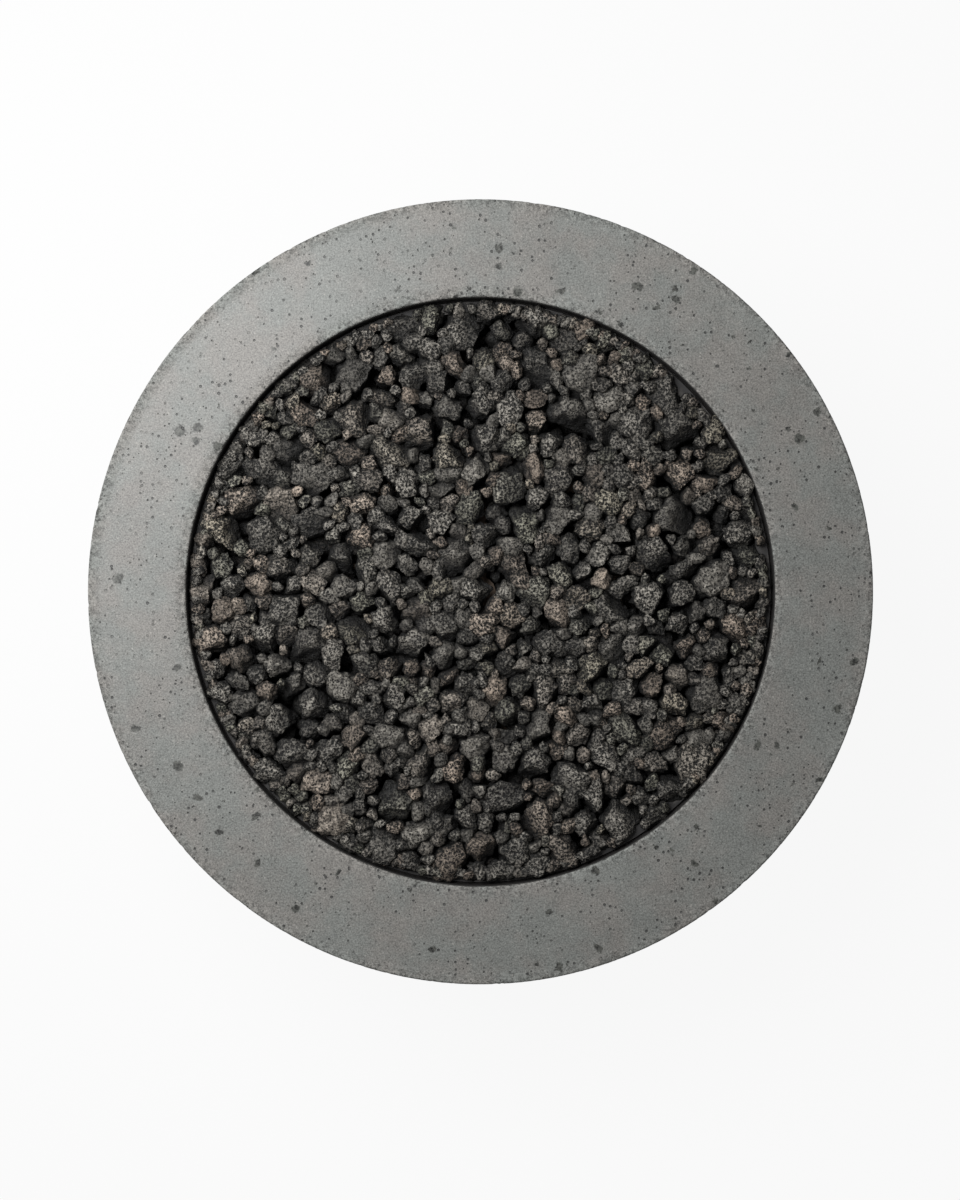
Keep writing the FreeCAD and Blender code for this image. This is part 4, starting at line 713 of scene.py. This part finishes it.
def worn_tree():
    """Wears the arrises of a casting: crumbs and chips pressed in along its normals."""
    tree, given, told = shaping("worn_arris", Chip_Depth="Float", Crumb_Depth="Float",
                                Chip_Size="Float", Crumb_Size="Float")
    place = tree.nodes.new("GeometryNodeInputPosition").outputs[0]
    normal = tree.nodes.new("GeometryNodeInputNormal").outputs[0]
    edge = kept(tree, "worn", "FLOAT")
    chips = noise(tree, place, given["Chip Size"], 2.0)
    crumbs = noise(tree, place, given["Crumb Size"], 2.0, 0.7)
    chip = reckoned(tree, "MULTIPLY", eased(tree, chips, 0.54, 0.72), given["Chip Depth"])
    chip = reckoned(tree, "MULTIPLY", chip, reckoned(tree, "POWER", edge, 3.0))
    crumb = reckoned(tree, "MULTIPLY", reckoned(tree, "MULTIPLY", crumbs, given["Crumb Depth"]), edge)
    inward = reckoned(tree, "MULTIPLY", reckoned(tree, "ADD", chip, crumb), -1.0)
    moved = joined(tree, "GeometryNodeSetPosition", Geometry=given["Geometry"],
                   Offset=vector(tree, "SCALE", normal, inward))
    tree.links.new(moved.outputs[0], told["Geometry"])
    return tree


applied(ring, worn_tree(), Chip_Depth=0.0016, Crumb_Depth=0.0009, Chip_Size=0.011,
        Crumb_Size=0.0042)
ring.data.materials.clear()
ring.data.materials.append(concrete("ring_concrete", RING_WEAR))
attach(ring, "root")
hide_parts("top_ring")


# Fire pan. Folded and welded steel sheet in heat-proof black, which hangs by its rim on a
# graphite gasket on the ring's ledge. Four holes drain it.
gasket_fibre = rubbery("gasket_fibre", (0.07, 0.068, 0.066), 0.9)
pan_black = coated("heat_proof_black", (0.02, 0.019, 0.019), 0.7)
finished(gasket_fibre, "pan_gasket")
finished(pan_black, "burner_pan")


# Burner and gas train. A stainless ring burner stands on four feet in the pan. Below, the nipple,
# mixer, hoses and inlet are brass, zinc-plated steel and braided stainless, screwed together.
galvanised = metal("galvanised", (0.5, 0.51, 0.52), 0.42, 0.28)
braid_grey = metal("hose_braid", (0.42, 0.42, 0.42), 0.38, 0.15, 0.0003)
ceramic = rubbery("electrode_ceramic", (0.72, 0.7, 0.66), 0.35)
sleeve = rubbery("lead_sleeve", (0.03, 0.028, 0.027), 0.6)
heat_tinted = metal("heat_tinted_steel", (0.10, 0.078, 0.062), 0.55, 0.4)
finished(heat_tinted, "ring_burner", "sensor_hood")
finished(galvanised, "burner_nipple", "pan_washers", "pan_locknuts")
finished(brass, "air_mixer", "burner_hose_nuts", "inlet_hose_nuts", "gas_inlet", "gas_inlet_nut",
         "thermocouple_lead")
finished(braid_grey, "burner_hose", "inlet_hose")
finished(ceramic, "electrode_insulator")
finished(stainless, "electrode_rod", "thermocouple")
finished(sleeve, "igniter_lead")


# Lava rock. Washed porous stones of 20 to 80 mm, charcoal to red-brown, poured into the pan
# round the burner and levelled by hand. They lie loose on one another.
STONES_LOW, STONES_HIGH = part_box("lava_rocks")
BED_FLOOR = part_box("lava_fill")[0].z
PAN_INSIDE = 0.4365
RIM_LEVEL = 0.381
BED_REACH = 0.4512
FLATNESS = 0.8
SMALL_STONES = ((1400, 0.0080, 0.0120), (850, 0.0125, 0.0175), (260, 0.0180, 0.0230))
RIM_STONES = 190
RIM_STONE_SIZES = (0.0085, 0.0120)
RIM_START = 0.006
STONES_DRAW = 5
SETTLE_STEPS = 120
SEARCH_EVERY = 5
SEARCH_ROOM = 0.004
PUSH_LIMIT = 0.45
SINK_STEP = 0.0006
SMALL_TOP = STONES_HIGH.z - 0.0055
FINE_ABOVE = 0.380
FOOT_BAND = 0.0005
BALL_SHARE = 0.95
BURNER_BALL = 0.0145
BURNER_BALLS = 96
BURNER_INSET = 0.012
BURNER_SINK = 0.010
HOOD_BALL = 1.45 * BURNER_BALL


def top_stones():
    """The stones of the frame's top layer: middle, radius, way and length of each."""
    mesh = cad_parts["lava_rocks"].data
    corners = np.array([corner.co for corner in mesh.vertices])
    corners, own = np.unique(np.round(corners, 5), axis=0, return_inverse=True)
    ends = own.ravel()[np.array([edge.vertices[:] for edge in mesh.edges])]
    label = np.arange(len(corners))
    while True:
        lower = np.minimum(label[ends[:, 0]], label[ends[:, 1]])
        before = label.copy()
        np.minimum.at(label, ends[:, 0], lower)
        np.minimum.at(label, ends[:, 1], lower)
        if np.array_equal(before, label):
            break
    stones = []
    for name in np.unique(label):
        stone = corners[label == name]
        foot = stone[stone[:, 2] < STONES_LOW.z + FOOT_BAND, :2]
        middle = (foot.max(axis=0) + foot.min(axis=0)) / 2
        spread, ways = np.linalg.eigh(np.cov((foot - middle).T))
        radius = np.linalg.norm(foot - middle, axis=1).mean() * BALL_SHARE
        stones.append((*middle, stone[:, 2].max() - radius * FLATNESS, radius,
                       math.atan2(ways[1, 1], ways[0, 1]), (spread[1] / spread[0]) ** 0.25))
    return np.array(stones)


def burner_room():
    """Balls that stand for the burner, its hub and the hood, which stones lie round."""
    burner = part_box("ring_burner")
    middle = burner[1].x - BURNER_INSET
    level = burner[1].z - BURNER_SINK
    balls = [(0, 0, level, 2 * BURNER_BALL)]
    for angle in np.linspace(0, 2 * math.pi, BURNER_BALLS, endpoint=False):
        balls.append((middle * math.cos(angle), middle * math.sin(angle), level, BURNER_BALL))
    for away in np.arange(2 * BURNER_BALL, middle, BURNER_BALL):
        for x, y in ((1, 0), (0, 1), (-1, 0), (0, -1)):
            balls.append((x * away, y * away, level, BURNER_BALL))
    low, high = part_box("sensor_hood")
    for x in (0.3, 0.7):
        for y in (0.3, 0.7):
            balls.append((low.x + (high.x - low.x) * x, low.y + (high.y - low.y) * y,
                          (low.z + high.z) / 2, HOOD_BALL))
    return np.array(balls)


def settled_stones(standing):
    """Lets small stones sink and push apart round the standing ones until they lie in the pan."""
    chance = np.random.default_rng(STONES_DRAW)
    inside = np.concatenate([chance.uniform(low, high, count) for count, low, high in SMALL_STONES])
    radii = np.concatenate([inside, chance.uniform(*RIM_STONE_SIZES, RIM_STONES)])
    count = len(radii)
    distance = PAN_INSIDE * np.sqrt(chance.uniform(0, 1, count))
    distance[len(inside):] = PAN_INSIDE + RIM_START
    angle = chance.uniform(0, 2 * math.pi, count)
    level = chance.uniform(BED_FLOOR, SMALL_TOP, count)
    level[len(inside):] = SMALL_TOP
    place = np.stack([distance * np.cos(angle), distance * np.sin(angle), level], axis=1)
    place = np.concatenate([place, standing[:, :3]])
    size = np.concatenate([radii, standing[:, 3]])
    free = np.arange(len(size)) < count
    place[:, 2] /= FLATNESS
    for step in range(SETTLE_STEPS):
        if step % SEARCH_EVERY == 0:
            gap = np.linalg.norm(place[:, None] - place[None], axis=2)
            near = gap < size[:, None] + size[None] + SEARCH_ROOM
            first, second = np.nonzero(np.triu(near, 1))
        apart = place[first] - place[second]
        length = np.maximum(np.linalg.norm(apart, axis=1), 1e-6)
        overlap = np.maximum(size[first] + size[second] - length, 0)
        push = apart / length[:, None] * (overlap * 0.5)[:, None]
        move = np.zeros_like(place)
        share = np.zeros(len(size))
        np.add.at(move, first, push)
        np.add.at(move, second, -push)
        np.add.at(share, first, overlap > 0)
        np.add.at(share, second, overlap > 0)
        move /= np.maximum(share * PUSH_LIMIT, 1)[:, None]
        move[:, 2] -= SINK_STEP * (1 - step / SETTLE_STEPS)
        place[free] += move[free]
        out = np.hypot(place[:, 0], place[:, 1])
        sunk = RIM_LEVEL / FLATNESS - (place[:, 2] - size)
        aside = out + size - PAN_INSIDE
        lifted = free & (sunk > 0) & (aside > 0) & (sunk < aside)
        place[lifted, 2] += sunk[lifted]
        wall = np.where(free & (sunk > 0) & ~lifted, PAN_INSIDE, BED_REACH) - size
        over = np.where(free & (out > wall), wall / np.maximum(out, 1e-6), 1.0)
        place[:, :2] *= over[:, None]
        floor = BED_FLOOR / FLATNESS + size
        lid = SMALL_TOP / FLATNESS - size
        place[free, 2] = np.clip(place[free, 2], floor[free], lid[free])
    place[:, 2] *= FLATNESS
    return place[:count], radii


LEVELLED = 0.009
BROKEN_FLATS = 6
FLAT_NEAREST = 0.5
FLAT_FARTHEST = 0.9


def stones_tree():
    """A lumpy stone at each point, no two alike, with its tone and pores kept for the finish."""
    tree, given, told = shaping("lumpy_stones", Facets="Int", Lump_Depth="Float",
                                Break_Depth="Float", Crag_Depth="Float", Lid="Float",
                                Finish="Material")

    def stored(geometry, name, value):
        node = joined(tree, "GeometryNodeStoreNamedAttribute",
                      {"data_type": "FLOAT_VECTOR", "domain": "POINT"}, Geometry=geometry, Name=name)
        tree.links.new(value, next(item for item in node.inputs
                                   if item.name == "Value" and item.enabled))
        return node.outputs[0]

    here = tree.nodes.new("GeometryNodeInputPosition").outputs[0]
    ball = joined(tree, "GeometryNodeMeshIcoSphere", Radius=1.0, Subdivisions=given["Facets"])
    ball = stored(ball.outputs[0], "own", here)
    points = stored(given["Geometry"], "centre", here)
    points = joined(tree, "GeometryNodeMeshToPoints", Mesh=points).outputs[0]
    turn = joined(tree, "FunctionNodeEulerToRotation", Euler=kept(tree, "turn"))
    laid = joined(tree, "GeometryNodeInstanceOnPoints", Points=points, Instance=ball,
                  Rotation=turn.outputs[0], Scale=kept(tree, "size"))
    real = joined(tree, "GeometryNodeRealizeInstances", Geometry=laid.outputs[0]).outputs[0]
    ball_place = kept(tree, "own")
    seed = kept(tree, "seed")
    broken = ball_place
    for count in range(BROKEN_FLATS):
        white = joined(tree, "ShaderNodeTexWhiteNoise",
                       Vector=vector(tree, "ADD", seed, (count + 0.5, 2.0 * count, 0.25)))
        way = vector(tree, "SUBTRACT", white.outputs["Color"], (0.5, 0.5, 0.5))
        way = vector(tree, "NORMALIZE", way, way)
        reach = vector(tree, "DOT_PRODUCT", broken, way)
        limit = eased(tree, white.outputs["Value"], 0.0, 1.0, FLAT_NEAREST, FLAT_FARTHEST)
        over = reckoned(tree, "MAXIMUM", reckoned(tree, "SUBTRACT", reach, limit), 0.0)
        broken = vector(tree, "SUBTRACT", broken, vector(tree, "SCALE", way, over))
    own = vector(tree, "ADD", ball_place, seed)
    lumps = reckoned(tree, "SUBTRACT", noise(tree, own, 1.3, 1.0), 0.5)
    breaks = joined(tree, "ShaderNodeTexVoronoi", {"feature": "SMOOTH_F1"}, Vector=own, Scale=2.1,
                    Smoothness=0.12).outputs["Distance"]
    breaks = reckoned(tree, "SUBTRACT", 0.4, breaks)
    crags = reckoned(tree, "SUBTRACT", noise(tree, own, 0.26, 3.0, 0.65), 0.5)
    depth = reckoned(tree, "ADD", reckoned(tree, "MULTIPLY", lumps, given["Lump Depth"]),
                     reckoned(tree, "MULTIPLY", breaks, given["Break Depth"]))
    depth = reckoned(tree, "ADD", depth, reckoned(tree, "MULTIPLY", crags, given["Crag Depth"]))
    swollen = vector(tree, "SCALE", broken, reckoned(tree, "ADD", depth, 1.0))
    sized = vector(tree, "MULTIPLY", swollen, kept(tree, "size"))
    turned = joined(tree, "FunctionNodeRotateVector", Vector=sized)
    own_turn = joined(tree, "FunctionNodeEulerToRotation", Euler=kept(tree, "turn"))
    tree.links.new(own_turn.outputs[0], turned.inputs["Rotation"])
    moved = joined(tree, "GeometryNodeSetPosition", Geometry=real,
                   Position=vector(tree, "ADD", kept(tree, "centre"), turned.outputs[0]))
    spot = joined(tree, "ShaderNodeSeparateXYZ", Vector=here).outputs
    near_lid = reckoned(tree, "SUBTRACT", spot["Z"], reckoned(tree, "SUBTRACT", given["Lid"],
                                                              LEVELLED))
    past = reckoned(tree, "MAXIMUM", near_lid, 0.0)
    eased_out = reckoned(tree, "EXPONENT", reckoned(tree, "DIVIDE", past, -LEVELLED))
    eased_out = reckoned(tree, "MULTIPLY", reckoned(tree, "SUBTRACT", 1.0, eased_out), LEVELLED)
    lowered = joined(tree, "ShaderNodeCombineXYZ", Z=reckoned(tree, "SUBTRACT", eased_out, past))
    levelled = joined(tree, "GeometryNodeSetPosition", Geometry=moved.outputs[0],
                      Offset=lowered.outputs[0])
    smooth = joined(tree, "GeometryNodeSetShadeSmooth", Geometry=levelled.outputs[0])
    done = joined(tree, "GeometryNodeSetMaterial", Geometry=smooth.outputs[0],
                  Material=given["Finish"])
    tree.links.new(done.outputs[0], told["Geometry"])
    return tree


SWIRLS_PER_METRE = 160.0
SWIRL_DEPTH = 0.0016


def pores_group():
    """The bubbles of lava rock: how deep and dark the surface is, from ridge 0 to pore 1."""
    tree, given, told = effect("bubbles", {"Place": None, "Size": 0.003, "Open": 0.4},
                               ("Pore", "Height"))
    swirl = joined(tree, "ShaderNodeTexNoise", Vector=given["Place"], Scale=SWIRLS_PER_METRE,
                   Detail=2.0)
    bend = vector(tree, "SCALE", swirl.outputs["Color"], SWIRL_DEPTH)
    cells = joined(tree, "ShaderNodeTexVoronoi", Vector=vector(tree, "ADD", given["Place"], bend))
    tree.links.new(reckoned(tree, "DIVIDE", 1.0, given["Size"]), cells.inputs["Scale"])
    chance = joined(tree, "ShaderNodeSeparateColor", Color=cells.outputs["Color"]).outputs[0]
    wide = reckoned(tree, "MULTIPLY", given["Open"],
                    reckoned(tree, "ADD", reckoned(tree, "MULTIPLY", chance, 0.9), 0.45))
    inside = reckoned(tree, "DIVIDE", cells.outputs["Distance"], wide)
    pore = eased(tree, inside, 0.55, 1.15, 1.0, 0.0)
    tree.links.new(pore, told["Pore"])
    tree.links.new(reckoned(tree, "SUBTRACT", 1.0, pore), told["Height"])
    return tree


BUBBLES = pores_group()


LAVA_CHARCOAL = (0.0595, 0.0555, 0.0485, 1)
LAVA_BROWN = (0.087, 0.0710, 0.0570, 1)
LAVA_OLIVE = (0.064, 0.064, 0.048, 1)
PATCH_SIZE = 0.011
GRIT_SIZE = 0.0038
BUBBLE_SIZE = 0.0043
SHADE_PAINTED_BELOW = 0.381
UNSHADED_ABOVE = 0.4


def lava(name):
    """Porous stone whose colour, pore size and dustiness differ from stone to stone, with painted
    shade on its sides, low in the bed and in its pores, and painted highlights and shade in its grit.
    """
    made, tree, shader, place = material(name, Specular_IOR_Level=0.4)
    kind = joined(tree, "ShaderNodeAttribute", {"attribute_name": "kind"}).outputs["Vector"]
    pick = joined(tree, "ShaderNodeSeparateXYZ", Vector=kind).outputs
    normal = tree.nodes.new("ShaderNodeNewGeometry").outputs["Normal"]
    facing = joined(tree, "ShaderNodeSeparateXYZ", Vector=normal).outputs["Z"]
    brown = eased(tree, pick["X"], 0.5, 1.0)
    light = eased(tree, pick["Y"], 0.0, 1.0, 0.68, 1.36)
    body = tinted(tree, brown, LAVA_CHARCOAL, LAVA_BROWN)
    olive = eased(tree, pick["Z"], 0.75, 1.0, 0.0, 0.55)
    body = tinted(tree, olive, body, LAVA_OLIVE)
    patches = noise(tree, place, PATCH_SIZE, 4.0, 0.65)
    grit = noise(tree, place, GRIT_SIZE, 3.0, 0.75)
    tone = reckoned(tree, "MULTIPLY", light, eased(tree, patches, 0.3, 0.72, 0.72, 1.35))
    # Painted shade: stone faces that turn away from above are darkened, and tops are lightened.
    tone = reckoned(tree, "MULTIPLY", tone, eased(tree, facing, 0.15, 0.85, 0.04, 1.3))
    # Painted shade: stones lower in the bed are darkened, down to near black at the rim level, as the
    # shade between the stones above.
    level = joined(tree, "ShaderNodeSeparateXYZ", Vector=place).outputs["Z"]
    tone = reckoned(tree, "MULTIPLY", tone, eased(tree, level, SHADE_PAINTED_BELOW, UNSHADED_ABOVE, 0.06, 1.2))
    open_share = eased(tree, pick["Z"], 0.05, 0.5, 0.7, 1.05)
    # Painted shade and highlights in the grit: darker where the grit bump is low and lighter where it
    # is high, over the stone's own speckle.
    speck_shade_and_highlight = eased(tree, grit, 0.4, 0.62, -1.0, 1.25)
    speck_shade_and_highlight = reckoned(tree, "ADD", 1.0, reckoned(tree, "MULTIPLY", speck_shade_and_highlight,
                                                reckoned(tree, "MULTIPLY", open_share, 0.95)))
    bubbles = used(tree, BUBBLES, Place=place, Size=BUBBLE_SIZE,
                   Open=reckoned(tree, "MULTIPLY", open_share, 0.46))
    shade = eased(tree, bubbles["Pore"], 0.0, 1.0, 1.0, 0.08)
    tone = reckoned(tree, "MULTIPLY", reckoned(tree, "MULTIPLY", tone, speck_shade_and_highlight), shade)
    tree.links.new(vector(tree, "SCALE", body, tone), shader["Base Color"])
    tree.links.new(eased(tree, grit, 0.3, 0.7, 0.9, 0.6), shader["Roughness"])
    coarse = bumped(tree, patches, 0.004, 0.7)
    gritty = bumped(tree, grit, 0.0016, 0.9, coarse)
    tree.links.new(bumped(tree, bubbles["Height"], 0.0016, 1.0, gritty), shader["Normal"])
    return made


standing = top_stones()
small_places, small_radii = settled_stones(np.concatenate([standing[:, :4], burner_room()]))
LAVA = lava("lava_rock")
STONES = stones_tree()
STONE_LEAN = 0.3
SEED_REACH = 90
LUMP_DEPTH = 0.62
BREAK_DEPTH = 0.34
CRAG_DEPTH = 0.36
LID = RING_TOP - 0.0005


def laid_stones(name, draw, places, size, way, facets, node):
    """Stones at these places, of these half sizes and headings, as one piece of the table."""
    chance = np.random.default_rng(draw)
    count = len(places)
    lean = [chance.uniform(-STONE_LEAN, STONE_LEAN, count) for _ in range(2)]
    turn = np.stack([*lean, way], axis=1)
    seed = chance.uniform(0, SEED_REACH, (count, 3))
    kind = chance.uniform(0, 1, (count, 3))
    mesh = bpy.data.meshes.new(name)
    mesh.from_pydata(places.tolist(), [], [])
    for label, values in (("size", size), ("turn", turn), ("seed", seed), ("kind", kind)):
        noted(mesh, label, "FLOAT_VECTOR", values)
    piece = applied(shown(name, mesh), STONES, Facets=facets, Lump_Depth=LUMP_DEPTH,
                    Break_Depth=BREAK_DEPTH, Crag_Depth=CRAG_DEPTH, Lid=LID, Finish=LAVA)
    cleared(piece.data, "own", "seed", "centre", "size", "turn")
    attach(piece, "root")
    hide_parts(node)


LARGE_PARTS = 3
LARGE_FACETS = 4
SMALL_PARTS = 2
SMALL_FACETS = 3
UNDER_FACETS = 2
SMALL_DRAW = 17
SMALL_LONGEST = 1.3
order = np.argsort(np.hypot(standing[:, 0], standing[:, 1]))
for part, chosen in enumerate(np.array_split(order, LARGE_PARTS), 1):
    stones = standing[chosen]
    radius, way, long = stones[:, 3:].T
    half = np.stack([radius * long, radius / long, radius * FLATNESS], axis=1)
    laid_stones(f"lava_rocks_{part}", part, stones[:, :3], half, way, LARGE_FACETS, "lava_rocks")

chance = np.random.default_rng(SMALL_DRAW)
long = chance.uniform(1.0, SMALL_LONGEST, len(small_radii))
way = chance.uniform(0, 2 * math.pi, len(small_radii))
half = small_radii[:, None] * np.stack([long, 1.1 / long, np.full(len(long), FLATNESS)], axis=1)
seen = small_places[:, 2] + small_radii * FLATNESS > FINE_ABOVE
for part, chosen in enumerate(np.array_split(np.flatnonzero(seen), SMALL_PARTS), LARGE_PARTS + 1):
    laid_stones(f"lava_rocks_{part}", part, small_places[chosen], half[chosen], way[chosen],
                SMALL_FACETS, "lava_rocks")
laid_stones("lava_rocks_under", 0, small_places[~seen], half[~seen], way[~seen], UNDER_FACETS,
            "lava_fill")


# Floor, light and camera. A pale floor that doesn't glow under the drum, one large soft light
# from the upper left, a soft pale surround, and a camera straight above the table.
FLOOR_SIZE = 60.0
PALE = 0.956
SHADOW_SHARE = 0.05
FLOOR_LIT = 0.038
FLOOR_GREY = (0.6, 0.6, 0.6, 1)
FOOT_EDGE = 0.004
SURROUND_STRENGTH = 0.27


def seen_as(tree, share, plain, pale, output):
    """Gives a plain shader to the light on the table and a pale one to what the camera sees."""
    both = joined(tree, "ShaderNodeMixShader")
    for socket, value in zip(both.inputs, (share, plain.outputs[0], pale.outputs[0])):
        tree.links.new(value, socket)
    tree.links.new(both.outputs[0], tree.nodes.new(output).inputs["Surface"])


floor_mesh = bpy.data.meshes.new("floor")
floor_mesh.from_pydata(
    [(x * FLOOR_SIZE, y * FLOOR_SIZE, 0) for x, y in ((-1, -1), (1, -1), (1, 1), (-1, 1))],
    [], [(0, 1, 2, 3)])
floor = shown("floor", floor_mesh)
floor_paint = bpy.data.materials.new("floor_paint")
floor_paint.use_nodes = True
tree = floor_paint.node_tree
tree.nodes.clear()
rays = tree.nodes.new("ShaderNodeLightPath").outputs
seen = reckoned(tree, "MAXIMUM", rays["Is Camera Ray"], rays["Is Glossy Ray"])
spot = tree.nodes.new("ShaderNodeTexCoord").outputs["Object"]
away = joined(tree, "ShaderNodeVectorMath", {"operation": "LENGTH"}, Vector=spot).outputs["Value"]
foot_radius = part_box("drum_shell")[1].x - FOOT_EDGE
seen = reckoned(tree, "MULTIPLY", seen, reckoned(tree, "GREATER_THAN", away, foot_radius))
matt = joined(tree, "ShaderNodeBsdfDiffuse", Color=(PALE * SHADOW_SHARE,) * 3 + (1,))
glow = joined(tree, "ShaderNodeEmission", Color=(1, 1, 1, 1), Strength=PALE - FLOOR_LIT)
pale = joined(tree, "ShaderNodeAddShader")
tree.links.new(matt.outputs[0], pale.inputs[0])
tree.links.new(glow.outputs[0], pale.inputs[1])
plain = joined(tree, "ShaderNodeBsdfDiffuse", Color=FLOOR_GREY)
seen_as(tree, seen, plain, pale, "ShaderNodeOutputMaterial")
floor.data.materials.append(floor_paint)

world = bpy.data.worlds.new("surround")
bpy.context.scene.world = world
world.use_nodes = True
tree = world.node_tree
tree.nodes.clear()
seen = tree.nodes.new("ShaderNodeLightPath").outputs["Is Camera Ray"]
soft, pale = (joined(tree, "ShaderNodeBackground", Color=(1, 1, 1, 1), Strength=strength)
              for strength in (SURROUND_STRENGTH, PALE))
seen_as(tree, seen, soft, pale, "ShaderNodeOutputWorld")

LAMP_STRENGTH = 68
LAMP_SIZE = 1.6
LAMP_TURN = math.radians(143)
LAMP_ASIDE = 1.3
LAMP_ABOVE = 1.6
light = bpy.data.lights.new("key_light", "AREA")
light.energy = LAMP_STRENGTH
light.size = LAMP_SIZE
lamp = shown("key_light", light)
lamp.location = (LAMP_ASIDE * math.cos(LAMP_TURN), LAMP_ASIDE * math.sin(LAMP_TURN),
                 RING_TOP + LAMP_ABOVE)
lamp.rotation_euler = (0, math.atan2(LAMP_ASIDE, LAMP_ABOVE), LAMP_TURN)
lamp.visible_camera = False

CAMERA_ABOVE = 2.6
CAMERA_ASIDE = (-0.0008, -0.0127)
CAMERA_LENS = 50.34
SENSOR_WIDTH = 36
camera_data = bpy.data.cameras.new("camera")
camera_data.sensor_width = SENSOR_WIDTH
camera_data.lens = CAMERA_LENS
camera = shown("camera", camera_data)
camera.location = (*CAMERA_ASIDE, RING_TOP + CAMERA_ABOVE)
bpy.context.scene.camera = camera
bpy.context.scene.view_settings.view_transform = "Standard"
